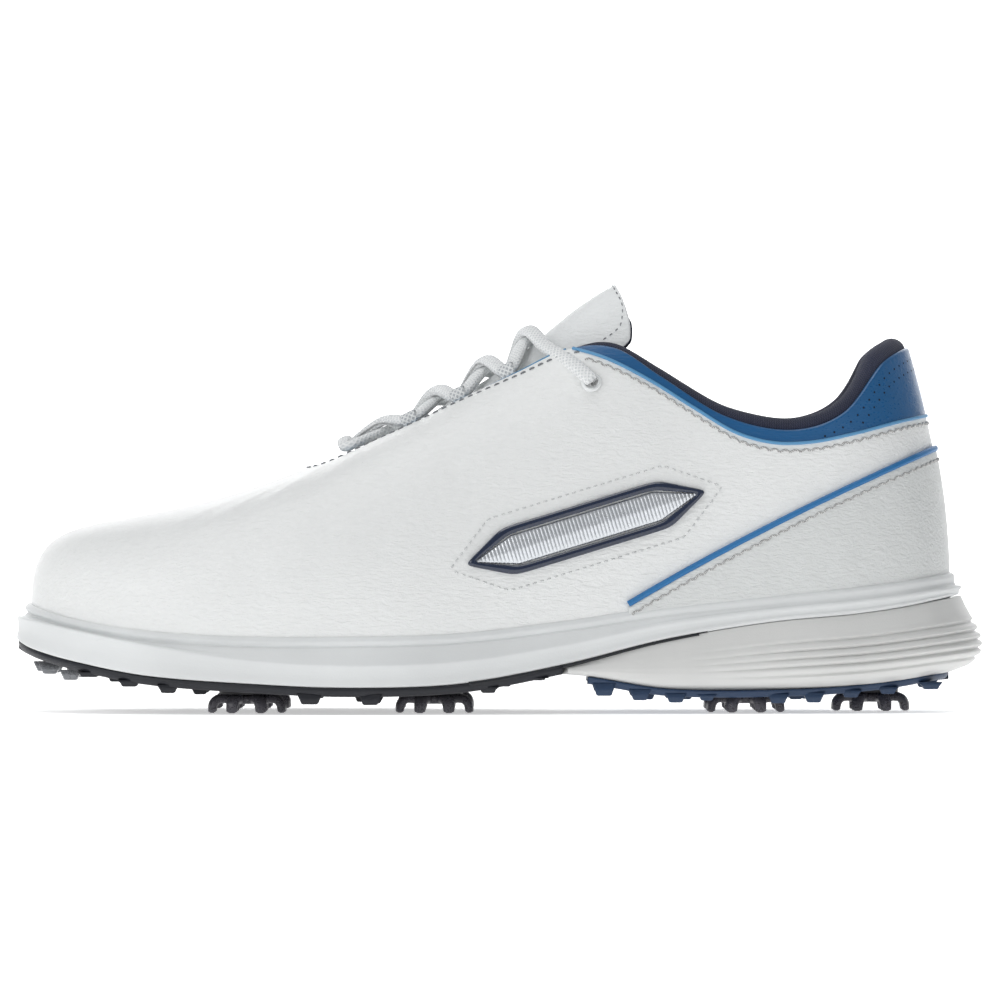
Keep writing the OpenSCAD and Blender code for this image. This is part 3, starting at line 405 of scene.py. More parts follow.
def stitches(name, path, normals, length, pitch, radius, material, lean=0.0, lift=0.1,
             body="root"):
    """A row of thread stitches: short arched capsules; lean tilts them to and fro in degrees."""
    s = run(path)
    at = np.arange(pitch / 2, s[-1], pitch)
    centre = at_run(at, s, path)
    up = unit(at_run(at, s, normals))
    along = unit(at_run(at + 0.2, s, path) - at_run(at - 0.2, s, path))
    across = unit(np.cross(up, along))
    tilt = np.radians(lean) * np.where(np.arange(len(at)) % 2, -1, 1)[:, None]
    along, across = (along * np.cos(tilt) + across * np.sin(tilt),
                     across * np.cos(tilt) - along * np.sin(tilt))
    a = np.linspace(-1, 1, 7)
    ring = around(6)
    fat = radius * np.sqrt(np.clip(1 - np.abs(a) ** 3, 0.02, 1))
    rise = lift - (radius + lift) * a ** 4
    points = (centre[:, None, None] + along[:, None, None] * (a * length / 2)[:, None, None]
              + across[:, None, None] * (fat[:, None] * np.cos(ring))[..., None]
              + up[:, None, None] * (rise[:, None] + fat[:, None] * np.sin(ring))[..., None])
    n, m = points.shape[1:3]
    one = grid_faces(n, m, wrap_m=True) + fans(n, m, False)
    mesh(name, points, repeated(one, len(at), n * m), material, "lace", body=body)


def dots(name, centres, normals, radius, material, slot, lift=0.03, sides=10, body="root"):
    """Small round holes, drawn as dark discs just off the surface: painted shade inside the holes."""
    ref = np.where(np.abs(normals[:, :1]) < 0.9, [[1.0, 0, 0]], [[0, 1.0, 0]])
    a1 = unit(np.cross(normals, ref))
    a2 = np.cross(normals, a1)
    ring = around(sides)
    points = (centres[:, None] + normals[:, None] * lift
              + radius * (a1[:, None] * np.cos(ring)[:, None] + a2[:, None] * np.sin(ring)[:, None]))
    faces = repeated([range(sides)], len(centres), sides)
    mesh(name, points, faces, material, slot, body=body)


# ---- materials: every finish is a node tree, built with short calls ---------------------------

class Finish:
    """A node material with a Principled shader; `at` is the object's own coordinates in metres."""

    def __init__(self, name, **sockets):
        self.material = bpy.data.materials.new(name)
        self.material.use_nodes = True
        self.tree = self.material.node_tree
        self.tree.nodes.clear()
        self.bsdf = self.add("ShaderNodeBsdfPrincipled")
        out = self.add("ShaderNodeOutputMaterial")
        self.tree.links.new(self.bsdf.outputs[0], out.inputs[0])
        for key, value in sockets.items():
            self.bsdf.inputs[key.replace("_", " ")].default_value = value
        coordinates = self.add("ShaderNodeTexCoord")
        self.at, self.uv = coordinates.outputs["Object"], coordinates.outputs["UV"]
        self.height = None

    def add(self, kind, inputs=None, **settings):
        node = self.tree.nodes.new(kind)
        for key, value in settings.items():
            setattr(node, key, value)
        for key, value in (inputs or {}).items():
            if isinstance(value, bpy.types.NodeSocket):
                self.tree.links.new(value, node.inputs[key])
            else:
                node.inputs[key].default_value = value
        return node

    def noise(self, size, detail=2.0, rough=0.5, at=None):
        """Cloudy pattern whose patches are about `size` metres across."""
        return self.add("ShaderNodeTexNoise", {
            "Vector": at or self.at, "Scale": 1 / size, "Detail": detail,
            "Roughness": rough}).outputs["Fac"]

    def cells(self, size, at, feature="F1"):
        """Cells about `size` metres across."""
        return self.add("ShaderNodeTexVoronoi", {
            "Vector": at, "Scale": 1 / size}, feature=feature).outputs["Distance"]

    def math(self, operation, a, b=0.5):
        return self.add("ShaderNodeMath", {0: a, 1: b}, operation=operation).outputs[0]

    def remap(self, value, lo, hi, new_lo=0.0, new_hi=1.0):
        return self.add("ShaderNodeMapRange", {
            "Value": value, "From Min": lo, "From Max": hi, "To Min": new_lo,
            "To Max": new_hi}).outputs[0]

    def mix(self, share, a, b):
        """Colour between a and b; the mix node's colour sockets are 6, 7 and 2."""
        return self.add("ShaderNodeMix", {0: share, 6: a, 7: b}, data_type="RGBA").outputs[2]

    def stretch(self, vector, x, y, z):
        return self.add("ShaderNodeMapping", {
            "Vector": vector, "Scale": (x, y, z)}).outputs[0]

    def lengthwise_and_round(self):
        node = self.add("ShaderNodeSeparateXYZ", {0: self.uv})
        return node.outputs[0], node.outputs[1]

    def color(self, value):
        self.tree.links.new(value, self.bsdf.inputs["Base Color"])

    def rough(self, value):
        self.tree.links.new(value, self.bsdf.inputs["Roughness"])

    def bump(self, height, depth):
        """Adds relief `depth` metres deep."""
        inputs = {"Height": height, "Distance": depth, "Strength": 1.0}
        if self.height is not None:
            inputs["Normal"] = self.height
        self.height = self.add("ShaderNodeBump", inputs).outputs[0]
        self.tree.links.new(self.height, self.bsdf.inputs["Normal"])


def tint(r, g, b):
    """Linear colour from an sRGB triple of 0 to 255."""
    def lin(c):
        c = c / 255
        return c / 12.92 if c <= 0.04045 else ((c + 0.055) / 1.055) ** 2.4
    return (lin(r), lin(g), lin(b), 1.0)


def shade(color, factor):
    return (color[0] * factor, color[1] * factor, color[2] * factor, 1.0)


def leather(name, color, grain=0.0011, depth=0.00012, roughness=0.42, coat=0.12, wrinkles=0.00018):
    """Coated full-grain leather: pebble grain, pores, soft creases and faint colour clouds, with painted
    shade in the grain's hollows.
    """
    f = Finish(name, Roughness=roughness, Coat_Weight=coat, Coat_Roughness=0.3)
    drift = f.add("ShaderNodeTexNoise", {
        "Vector": f.at, "Scale": 260.0, "Detail": 1.0}).outputs["Color"]
    warp = f.add("ShaderNodeVectorMath", {0: drift, 1: (0.0016,) * 3, 2: f.at},
                 operation="MULTIPLY_ADD")
    at = warp.outputs[0]
    pebble = f.cells(grain, f.stretch(at, 0.55, 1.0, 1.35), feature="SMOOTH_F1")
    fine = f.cells(grain * 0.42, at)
    folds = f.noise(grain * 1.5, 3.0, 0.6, f.stretch(at, 0.35, 1.0, 1.5))
    creases = f.noise(0.012, 3.0, 0.55, f.stretch(f.at, 1.6, 1.0, 0.8))
    clouds = f.noise(0.045, 2.0, 0.5)
    tone = f.mix(f.remap(clouds, 0.3, 0.7), shade(color, 0.955), color)
    # Painted shade: the grain's hollows between the pebbles are drawn darker.
    tone = f.mix(f.remap(pebble, 0.15, 0.75, 0.0, 0.3), tone, shade(color, 0.88))
    f.color(tone)
    f.rough(f.remap(f.math("ADD", pebble, clouds), 0.4, 1.5, roughness - 0.06, roughness + 0.12))
    f.bump(creases, wrinkles)
    f.bump(f.remap(folds, 0.35, 0.65), depth * 0.8)
    f.bump(f.math("MULTIPLY", pebble, -1.0), depth * 1.3)
    f.bump(f.math("MULTIPLY", fine, -1.0), depth * 0.35)
    return f.material


def textile(name, color, dark, pitch=0.0009, sheen=0.35):
    """Warp-knit lining: small loops in staggered rows, with a soft sheen; the gaps between the loops get
    painted shade.
    """
    f = Finish(name, Roughness=0.82, Sheen_Weight=sheen, Sheen_Roughness=0.45)
    x, y = f.lengthwise_and_round()
    across = f.math("SINE", f.math("MULTIPLY", y, 2 * math.pi / pitch))
    along = f.math("SINE", f.math("ADD", f.math("MULTIPLY", x, 2 * math.pi / (pitch * 0.8)),
                                  f.math("MULTIPLY", across, 0.9)))
    loops = f.remap(f.math("MULTIPLY", f.math("ABSOLUTE", across), f.math("ADD", along, 1.4)),
                    0.0, 2.4)
    fuzz = f.noise(0.0005, 2.0, 0.6)
    patches = f.noise(0.02, 2.0)
    # Painted shade: the dark colour fills the gaps between the loops.
    tone = f.mix(f.remap(loops, 0.1, 0.8), dark, color)
    tone = f.mix(f.remap(patches, 0.35, 0.65, 0.0, 0.35), tone, shade(color, 1.25))
    f.color(f.mix(f.remap(fuzz, 0.4, 0.7, 0.0, 0.3), tone, shade(dark, 0.8)))
    f.bump(loops, 0.00022)
    f.bump(fuzz, 0.00011)
    return f.material


def moulded(name, color, roughness=0.45, texture=0.0009, cloud=0.06, **more):
    """Moulded polyurethane or rubber: a fine eroded skin, flow clouds and scuffs."""
    f = Finish(name, Roughness=roughness, **more)
    fine = f.noise(texture, 3.0, 0.6)
    clouds = f.noise(0.03, 2.0)
    scuff = f.noise(0.004, 4.0, 0.7, f.stretch(f.at, 0.35, 1.0, 2.2))
    tone = f.mix(f.remap(clouds, 0.3, 0.7), shade(color, 1 - cloud), shade(color, 1 + cloud * 0.3))
    f.color(f.mix(f.remap(scuff, 0.62, 0.8, 0.0, 0.5), tone, shade(color, 0.88)))
    f.rough(f.remap(f.math("ADD", fine, scuff), 0.6, 1.4, roughness - 0.07, roughness + 0.1))
    f.bump(fine, 0.00004)
    f.bump(clouds, 0.00008)
    return f.material


def thread(name, color, dark):
    """Bonded sewing thread: a two-ply twist, with painted shade between the plies."""
    f = Finish(name, Roughness=0.6, Sheen_Weight=0.2)
    twist = f.add("ShaderNodeTexWave", {"Vector": f.at, "Scale": 900.0, "Distortion": 1.5},
                  bands_direction="DIAGONAL").outputs["Fac"]
    # Painted shade: the dark colour lies in the grooves between the plies.
    f.color(f.mix(f.remap(twist, 0.2, 0.8), dark, color))
    f.bump(twist, 0.00006)
    return f.material


def braid(name, color, dark):
    """Flat braided lace: crossing strands along the length and round the section, with painted shade
    between the strands.
    """
    turn = 2 * math.pi / 0.0016
    f = Finish(name, Roughness=0.72, Sheen_Weight=0.25, Sheen_Roughness=0.5)
    x, y = f.lengthwise_and_round()
    one = f.math("SINE", f.math("MULTIPLY", f.math("ADD", x, y), turn))
    two = f.math("SINE", f.math("MULTIPLY", f.math("SUBTRACT", x, y), turn))
    strands = f.math("MAXIMUM", one, two)
    fuzz = f.noise(0.0004, 2.0, 0.6)
    # Painted shade: the dark colour lies in the grooves between the strands.
    tone = f.mix(f.remap(strands, -0.3, 0.9), dark, color)
    f.color(f.mix(f.remap(fuzz, 0.45, 0.7, 0.0, 0.2), tone, dark))
    f.bump(strands, 0.0001)
    f.bump(fuzz, 0.0001)
    return f.material


white_leather = leather("white_leather_finish", tint(246, 247, 246))
# Painted shade: the overlay is the same white leather as the upper, drawn darker for the shade on the
# heel's side.
overlay_leather = leather("overlay_leather_painted_shade", tint(226, 228, 227), grain=0.0010)
tongue_leather = leather("tongue_leather_finish", tint(243, 245, 245), grain=0.0009)
blue_leather = leather("collar_leather_finish", tint(2, 88, 142), grain=0.0009, depth=0.00006,
                       roughness=0.3, coat=0.45, wrinkles=0.0001)
piping_finish = leather("piping_finish", tint(36, 116, 176), grain=0.0007, depth=0.00006)
binding_finish = leather("binding_finish", tint(96, 158, 204), grain=0.0006, depth=0.00006)
underlay_finish = leather("underlay_finish", tint(60, 140, 186), grain=0.0006, depth=0.00006)
# A textile's second, dark colour is painted shade between its loops.
navy_textile = textile("collar_textile_finish", tint(50, 56, 84), tint(20, 24, 44), sheen=0.15)
lining_textile = textile("lining_textile_finish", tint(58, 66, 92), tint(26, 30, 50), pitch=0.0013)
# Partly painted shade: the midsole's own off-white colour is drawn darker, standing in for the shade on
# its sides.
midsole_tone_and_painted_shade = moulded("midsole_tone_and_painted_shade", tint(229, 231, 231), roughness=0.42, texture=0.0007)
carrier_finish = moulded("carrier_finish", tint(222, 222, 220), roughness=0.36, texture=0.0006)
shank_finish = moulded("shank_finish", tint(24, 26, 32), roughness=0.4)
graphite_finish = moulded("graphite_finish", tint(26, 28, 36), roughness=0.48, cloud=0.15)
blue_rubber = moulded("blue_rubber_finish", tint(40, 62, 92), roughness=0.42, cloud=0.1)
smoke_clear = moulded("smoke_clear_finish", tint(150, 152, 156), roughness=0.28, cloud=0.12,
                      Transmission_Weight=0.35, IOR=1.45)
claw_finish = moulded("cleat_finish", tint(92, 90, 97), roughness=0.27, cloud=0.15,
                      Transmission_Weight=0.25, IOR=1.46)
socket_finish = moulded("socket_finish", tint(34, 34, 38), roughness=0.5)
# A braid's second, darker colour is painted shade between its strands.
lace_finish = braid("lace_finish", tint(252, 253, 253), tint(228, 231, 232))
loop_finish = braid("loop_finish", tint(238, 240, 240), tint(180, 184, 188))
aglet_finish = moulded("aglet_finish", tint(228, 232, 236), roughness=0.18, Coat_Weight=0.5)
ring_finish = moulded("eyelet_ring_finish", tint(238, 240, 240), roughness=0.3, Coat_Weight=0.3)
# A thread's second, darker colour is painted shade between its plies.
white_thread = thread("white_thread_finish", tint(238, 239, 238), tint(190, 192, 192))
grey_thread = thread("grey_thread_finish", tint(150, 153, 156), tint(92, 95, 100))
seam_thread = thread("seam_thread_finish", tint(222, 222, 220), tint(150, 148, 146))
# Painted shade: a near-black disc stands in for the shadow inside a hole.
painted_hole_shade = moulded("painted_hole_shade", tint(6, 12, 20), roughness=0.9)
rim_finish = moulded("emblem_rim_finish", tint(18, 34, 62), roughness=0.16, Coat_Weight=0.8,
                     Coat_Roughness=0.08)
silver_finish = moulded("emblem_inlay_finish", tint(226, 229, 233), roughness=0.3, Metallic=0.85)
plain_finish = moulded("hidden_board_finish", tint(190, 176, 150), roughness=0.8)


# ---- camera, light and floor ------------------------------------------------------------------

def camera():
    """A level view of the lateral side, from 3 m away with a long lens."""
    data = bpy.data.cameras.new("camera")
    data.sensor_width, data.lens = 36.0, 352.6
    data.clip_start, data.clip_end = 0.05, 30.0
    piece = bpy.data.objects.new("camera", data)
    piece.location = (0.0006, -3.04, 0.0656)
    piece.rotation_euler = (math.pi / 2, 0, 0)
    bpy.context.scene.collection.objects.link(piece)
    bpy.context.scene.camera = piece


def softbox(name, place, target, width, height, power):
    """A rectangular soft light aimed at a point."""
    data = bpy.data.lights.new(name, "AREA")
    data.shape, data.size, data.size_y = "RECTANGLE", width, height
    data.energy = power
    piece = bpy.data.objects.new(name, data)
    piece.location = place
    away = np.array(place, float) - np.array(target, float)
    level = math.hypot(away[0], away[1])
    piece.rotation_euler = (math.atan2(level, away[2]), 0, math.atan2(away[1], away[0]) + math.pi / 2)
    bpy.context.scene.collection.objects.link(piece)


def studio():
    scene = bpy.context.scene
    scene.view_settings.view_transform = "Standard"
    world = bpy.data.worlds.new("studio")
    world.use_nodes = True
    sky = world.node_tree.nodes["Background"].inputs
    sky["Color"].default_value = (0.95, 0.975, 1.0, 1)
    sky["Strength"].default_value = 0.3
    scene.world = world
    middle = (0, 0, 0.05)
    softbox("key", (-1.5, -1.3, 1.0), middle, 1.1, 1.1, 10)
    softbox("top", (-0.25, -0.1, 1.7), middle, 1.4, 1.0, 9)
    softbox("fill", (1.4, -1.8, 0.7), middle, 1.0, 1.2, 0.8)
    softbox("back", (0.3, 1.6, 1.1), middle, 1.8, 0.8, 2.2)
    softbox("wash", (0.0, 2.3, 2.6), (0, 4.2, 0.9), 3.5, 0.8, 90)


def floor():
    """A plain pale floor that curves up into a backdrop behind the shoe."""
    reach, bend = 3400.0, 900.0
    turn = np.linspace(0, math.pi / 2, 13)[1:]
    profile = [(-reach, 0.0), (0.0, 0.0), (reach, 0.0)]
    profile += [(reach + bend * math.sin(a), bend - bend * math.cos(a)) for a in turn]
    profile += [(reach + bend, 3200.0)]
    across = np.linspace(-4200, 4200, 9)
    points = np.array([[(x, y, z) for x in across] for y, z in profile])
    f = Finish("floor_finish", Roughness=0.75, Emission_Color=(1, 1, 1, 1), Emission_Strength=0.5)
    clouds = f.noise(0.5, 2.0)
    f.color(f.mix(clouds, tint(250, 250, 250), tint(255, 255, 255)))
    piece = mesh("floor", points, grid_faces(len(profile), len(across)), f.material, "lace",
                 body=None)


# ---- lacing -----------------------------------------------------------------------------------

EYELET_U, EYELET_V = (float(a) for a in find_uv(28.7, 101.7, 9.0, 0.85))
EYELET_PROFILE = [(1.9, -4.0), (1.9, 0.35), (2.05, 0.75), (2.4, 0.95), (2.8, 0.9), (3.1, 0.6),
                  (3.2, 0.2), (2.55, 0.1), (2.5, -4.0)]
TURNS = np.array([[-46, 7.4, 82.6], [-27, 11.4, 90.4], [-12, 14, 97.8], [3, 16.8, 105.2]])
CROSSINGS = np.array([[-36, 86.6, 90], [-19.5, 96.2, 99.6], [-4.5, 105.4, 108.8],
                      [8.5, 114.6, 118]])
# Free ends of the lace, from the lateral or medial eyelet inwards; y is given outward.
TAIL_TOP = {LATERAL: [[29, 26.6, 100.1], [29, 23.8, 98], [29, 22.4, 94]],
            MEDIAL: [[29, 24.6, 100.6], [29, 22, 99.1], [29, 20.7, 95]]}
TAIL = [[29, 21.4, 84], [28.8, 23.2, 70], [28, 24.6, 56], [26, 25.2, 44], [21, 25.4, 35],
        [13, 25.8, 30.6], [0, 27, 27.8], [-20, 30, 25.9], [-40, 32, 25.3], [-60, 32, 25.2],
        [-76, 30.5, 25.3], [-88, 25, 25.6], [-92, 17, 25.8], [-88, 9, 25.6], [-76, 4.5, 25.3],
        [-60, 4, 25.2], [-44, 5, 25.3], [-30, 6, 25.6]]


def on_side(points, sign):
    return np.asarray(points, float) * np.array([1, sign, 1])


def side_u(sign, u):
    return u if sign == LATERAL else other_side(u)


def lace_half(start):
    """Route of one half of the lace, from the bottom bar on side -start up to the eyelet."""
    route = []
    for k in range(4):
        sign = start if k % 2 == 0 else -start
        route.append(on_side(TURNS[k], sign))
        x, low, high = CROSSINGS[k]
        route.append([x, 0, high if sign > 0 else low])
    eye = side_u(start, EYELET_U)
    outer = skin(np.array([eye] * 3), np.array([EYELET_V] * 3), np.array([2.3, 0.4, -4.4]))
    return route + [[15, start * 16, 112.6], [21.5, start * 25.4, 108.6], *outer]


def tails():
    """The two free ends: down inside the quarter, forward over the insole and back."""
    for sign, side in BOTH:
        path = spline_path(on_side(TAIL_TOP[sign] + TAIL, sign), 8)
        normals = np.tile([1.0, 0, 0.3], (len(path), 1))
        lying = smooth(path[:, 2], 50, 28)[:, None]
        normals = unit(normals * (1 - lying) + np.array([0, 0, 1.0]) * lying)
        tail = ribbon("lace_tail_" + side + "_braid", path, normals, 3.3, 2.2, lace_finish, "lace",
                      sides=14, replaces=("lace_tail_" + side,))
        way = path[-1] - path[-4]
        tip_path = path[-1] + unit(way) * np.linspace(0.05, 20, 24)[:, None]
        narrow = np.ones(24)
        narrow[:2] = 1.06       # the crimped end, and then the blunt tip
        narrow[-2:] = 0.9
        tip = ribbon("aglet_" + side + "_tip", tip_path, np.tile([0, 0, 1.0], (24, 1)), 3.3, 2.6,
                     aglet_finish, "aglet", sides=18, square=2.0, scale=narrow,
                     replaces=("aglet_" + side,))


def lace():
    """The threaded part of the lace, and the webbing loops that hold it."""
    east, west = lace_half(MEDIAL), lace_half(LATERAL)
    route = np.array(west[::-1] + [[-47.5, 0, 84]] + east)
    path = resample(spline_path(route, 12), 0.55)
    # The flat side faces away from the tongue's middle, and from the leather at the ends.
    centre = np.stack([path[:, 0] + 12, path[:, 1] * 0, path[:, 2] - 30], 1)
    normals = unit(path - centre)
    end = np.minimum(np.arange(len(path)), np.arange(len(path))[::-1]) * 0.55
    ribbon("lace_braid", path, normals, 4.6, 3.0, lace_finish, "lace", sides=18,
           scale=0.7 + 0.3 * smooth(end, 5.5, 9.0), replaces=("lace",))
    for sign, side in BOTH:
        for k in range(1, 4):
            at = on_side(TURNS[k], sign)
            along = unit(np.array([1, sign * 0.18, 0.52]))
            across = unit(np.cross(along, [0, sign, 0.4]))
            up = np.cross(along, across)
            a = around(32)
            ring = at + 2.3 * (np.cos(a)[:, None] * across + np.sin(a)[:, None] * up)
            ribbon("lace_loop_%s_%d" % (side, k), ring, ring - at, 5.0, 0.7, loop_finish,
                   "loop", closed=True, sides=12,
                   replaces=("lace_loops_" + side,) if k == 1 else ())


def revolve(name, at, axis, profile, material, slot, sides=40, **more):
    """A turned piece: profile rows are radius and height along the axis."""
    axis = unit(np.asarray(axis, float))
    ref = np.array([0, 0, 1.0]) if abs(axis[2]) < 0.9 else np.array([1.0, 0, 0])
    a1 = unit(np.cross(axis, ref))
    a2 = np.cross(axis, a1)
    a = around(sides)
    ring = np.cos(a)[:, None] * a1 + np.sin(a)[:, None] * a2
    profile = np.asarray(profile, float)
    points = at + ring[:, None] * profile[None, :, :1] + axis * profile[None, :, 1:2]
    return loft(name, points, material, slot, wrap_n=True, wrap_m=True, **more)


def eyelets():
    """The two top eyelets: turned rings with a barrel through the leather."""
    for sign, side in BOTH:
        u = side_u(sign, EYELET_U)
        at = skin(u, EYELET_V)
        revolve("eyelet_ring_" + side, at, skin_normal(u, EYELET_V), EYELET_PROFILE, ring_finish,
                "eyelet", flip=True, replaces=("eyelet_" + side,))


# ---- upper ------------------------------------------------------------------------------------

ALL_U = np.arange(0, UPPER_TURN, 0.05)


def between(start, n):
    return np.linspace(start, UPPER_TURN - start, n)


def under(u, v, distance, step=STEP):
    """Share of each rib that lies a distance in millimetres under its share v."""
    p = rib(u)
    speed = np.linalg.norm(on_rib(p, v) - on_rib(p, v - step), axis=-1) / step
    return v - distance / speed


def creases(u, v):
    """Soft flex hollows over the ball of the foot, and a dressed fullness elsewhere."""
    side = np.minimum(np.mod(u, UPPER_TURN), UPPER_TURN - np.mod(u, UPPER_TURN))
    ball = np.exp(-((side - 4.0) / 1.3) ** 2) * np.exp(-((v - 0.62) / 0.3) ** 2)
    return 0.22 * ball * np.sin(side * 9 + 5 * v) + 0.1 * np.sin(side * 3.1 + v * 7)


def upper():
    sheet("vamp_quarter_leather", ALL_U, 0.012, np.minimum(panel_v(ALL_U) - 0.004, 0.996), 72,
          -LEATHER, 0.0, white_leather, "white_leather", closed=True,
          shape=lambda u, v: 0.6 * creases(u, v), replaces=("vamp_quarter",))
    sheet("upper_lining_cloth", ALL_U, 0.03, lining_v(ALL_U), 34, -3.9, -3.0, lining_textile,
          "lining_textile", closed=True, replaces=("upper_lining",))
    u = between(9.06, 520)
    sheet("heel_overlay_leather", u, 0.035, pipe_v(u) - 0.004, 40, -0.3, 0.95, overlay_leather,
          "overlay_leather", shape=lambda u, v: 0.05 * np.sin(9 * u + 11 * v),
          replaces=("heel_overlay",))
    path = skin(u, pipe_v(u) + 0.012, 0.75)
    ribbon("heel_piping_cord", path, skin_normal(u, pipe_v(u)), 1.9, 1.7, piping_finish,
           "piping_blue", sides=14, square=2.0, replaces=("heel_piping",))
    u = between(COLLAR_U, 620)
    v = panel_v(u)
    sheet("collar_panel_leather", u, v + 0.002, 0.994, 26, -LEATHER, 0.1, blue_leather,
          "collar_blue", replaces=("collar_panel",))
    ribbon("collar_binding_edge", skin(u, v, 0.25), skin_normal(u, v), 1.0, 0.8, binding_finish,
           "binding_blue", sides=12, replaces=("collar_binding",))
    collar_roll()
    throat()
    rows_of_stitches()
    perforations()


def collar_roll():
    """The padded navy roll, tapering forwards into the throat corners."""
    u = between(8.02, 520)
    side = np.minimum(u, UPPER_TURN - u)
    full = 0.35 + 0.3 * smooth(side, 8.0, 8.6) + 0.35 * smooth(side, 8.4, 10.0)
    # Its centre line lies just inside the leather's top edge, and nearer where it is thinner.
    inward = skin(u, 0.97, -LEATHER - ROLL_R - 0.1) - skin(u, 0.97)
    wall = skin(u, 0.97, -LEATHER - 0.1) - skin(u, 0.97)
    centre = rib(u)[3] + inward * 0.93 + np.array([0, 0, 0.2])
    centre = centre - unit(wall) * (ROLL_R * (1 - full))[:, None]
    a = around(36)
    out = -unit(wall * np.array([1, 1, 0]))
    # The padding bulges inwards and upwards, and is drawn flat where it meets the leather.
    r = ROLL_R * (1 + 0.05 * np.cos(2 * a))
    soft = 1 + 0.012 * np.sin(u * 7.3)[:, None] * np.cos(a - 1)[None, :]
    lift = np.cos(a)[None, :] * r * full[:, None] * soft
    reach = np.sin(a)[None, :] * r * full[:, None] * soft
    points = (centre[:, None] + out[:, None] * lift[..., None]
              + np.array([0, 0, 1.0]) * (reach * 1.12)[..., None])
    roll = loft("collar_roll_cloth", points, navy_textile, "collar_textile", wrap_m=True,
                replaces=("collar_lining", "collar_foam"))


def throat():
    """The thin blue edge of the lining board that shows along the throat."""
    for sign, side in BOTH:
        u = side_u(sign, np.linspace(2.6, 7.95, 160))
        p = rib(u)
        edge = skin(u, 0.995, -LEATHER / 2) + unit(p[3] - on_rib(p, 0.97)) * 0.9
        ribbon("eyestay_edge_" + side, edge, skin_normal(u, 0.99), 1.4, 1.0, underlay_finish,
               "piping_blue", sides=10,
               replaces=("eyestay_underlay",) if sign == LATERAL else ())


def rows_of_stitches():
    """Dashes along the throat's edge, and zigzags under the collar panel and the piping."""
    for sign, side in BOTH:
        u = side_u(sign, np.linspace(0.4, 8.3, 400))
        v = under(u, 1.0, 1.7, 0.03) - 0.003
        stitches("throat_stitches_%s_1" % side, skin(u, v, 0.02), skin_normal(u, v),
                 2.2, 3.0, 0.34, grey_thread, lift=0.12)
    u = between(8.35, 1400)
    v = under(u, panel_v(u), 2.3)
    stitches("collar_zigzag", skin(u, v, 0.03), skin_normal(u, v), 2.2, 1.6, 0.36, seam_thread,
             lean=30)
    u = between(9.1, 1200)
    v = under(u, pipe_v(u), 2.6)
    stitches("piping_zigzag", skin(u, v, 0.98), skin_normal(u, v), 2.1, 1.6, 0.33, seam_thread,
             lean=28)


def perforations():
    """Two staggered rows of punched holes that follow the panel's top edge."""
    pitch = 3.2
    centres, normals = [], []
    for row, distance in enumerate((3.0, 6.2)):
        u = between(9.7, 900)
        v = under(u, 1.0, distance, 0.05) - 0.006
        path = skin(u, v, 0.1)
        s = run(path)
        at = np.arange(pitch * (1 + row) / 2, s[-1] - 1, pitch)
        uu, vv = np.interp(at, s, u), np.interp(at, s, v)
        room = vv > panel_v(uu) + 0.02
        centres.append(skin(uu[room], vv[room], 0.1))
        normals.append(skin_normal(uu[room], vv[room]))
    # The holes are dark discs of painted shade.
    dots("collar_perforations", np.concatenate(centres), np.concatenate(normals), 0.34, painted_hole_shade,
         "collar_blue", lift=0.02)


# ---- tongue -----------------------------------------------------------------------------------

# From root to tip: centre x, centre z, half width, drop of the edges.
TONGUE = np.array([
    [-63, 68.6, 12, 5], [-55, 72.4, 15, 8], [-46, 77.3, 17, 12], [-36, 83.3, 19, 15],
    [-20, 93, 21, 17], [-2, 104, 21.5, 17], [8, 111.5, 20, 17], [16, 118.3, 17.5, 16],
    [24, 124.8, 16, 17], [31.5, 129.8, 13.5, 16.5], [36.5, 132.6, 9, 9]])
TONGUE_END = len(TONGUE) - 1


def tongue_row(a):
    a = np.clip(a, 0, TONGUE_END)
    i = np.minimum(np.floor(a).astype(int), TONGUE_END - 1)
    t = (a - i)[..., None]
    return spline(TONGUE[np.maximum(i - 1, 0)], TONGUE[i], TONGUE[i + 1],
                  TONGUE[np.minimum(i + 2, TONGUE_END)], t)


def tongue_point(a, b, depth):
    """a runs from root to tip, b from -1 to 1 across, depth below the leather's top."""
    a, b, depth = np.broadcast_arrays(np.asarray(a, float), b, depth)
    r, q = tongue_row(a), tongue_row(np.maximum(a - 0.05, 0))
    way = np.where(a[..., None] > 0.05, r - q, tongue_row(a + 0.05) - r)
    way = unit(np.stack([way[..., 0], way[..., 0] * 0, way[..., 1]], -1))
    up = np.stack([-way[..., 2], way[..., 0] * 0, way[..., 0]], -1)
    tip = np.sqrt(1 - 0.97 * np.clip((a - 9.2) / 0.8, 0, 1) ** 4)
    centre = np.stack([r[..., 0], r[..., 2] * tip * b, r[..., 1]], -1)
    return centre - up * (r[..., 3] * (tip * b) ** 2 + depth)[..., None]


def tongue_slab(name, a0, a1, wide, top, bottom, material, slot, **more):
    """A layer of the tongue from a0 to a1, between two depths, with rounded edges."""
    a = np.linspace(a0, a1, 150)
    t = np.linspace(-1, 1, 41)
    mid, half = (top + bottom) / 2, (bottom - top) / 2
    turn = np.linspace(0, math.pi, 8)[1:-1]
    b = np.concatenate([wide * t, wide + 0.03 * np.sin(turn), -wide * t, -wide - 0.03 * np.sin(turn)])
    d = np.concatenate([np.full(41, top), mid - half * np.cos(turn), np.full(41, bottom),
                        mid + half * np.cos(turn)])
    aa, bb = np.meshgrid(a, b, indexing="ij")
    return loft(name, tongue_point(aa, bb, d), material, slot, wrap_m=True, body="tongue", **more)


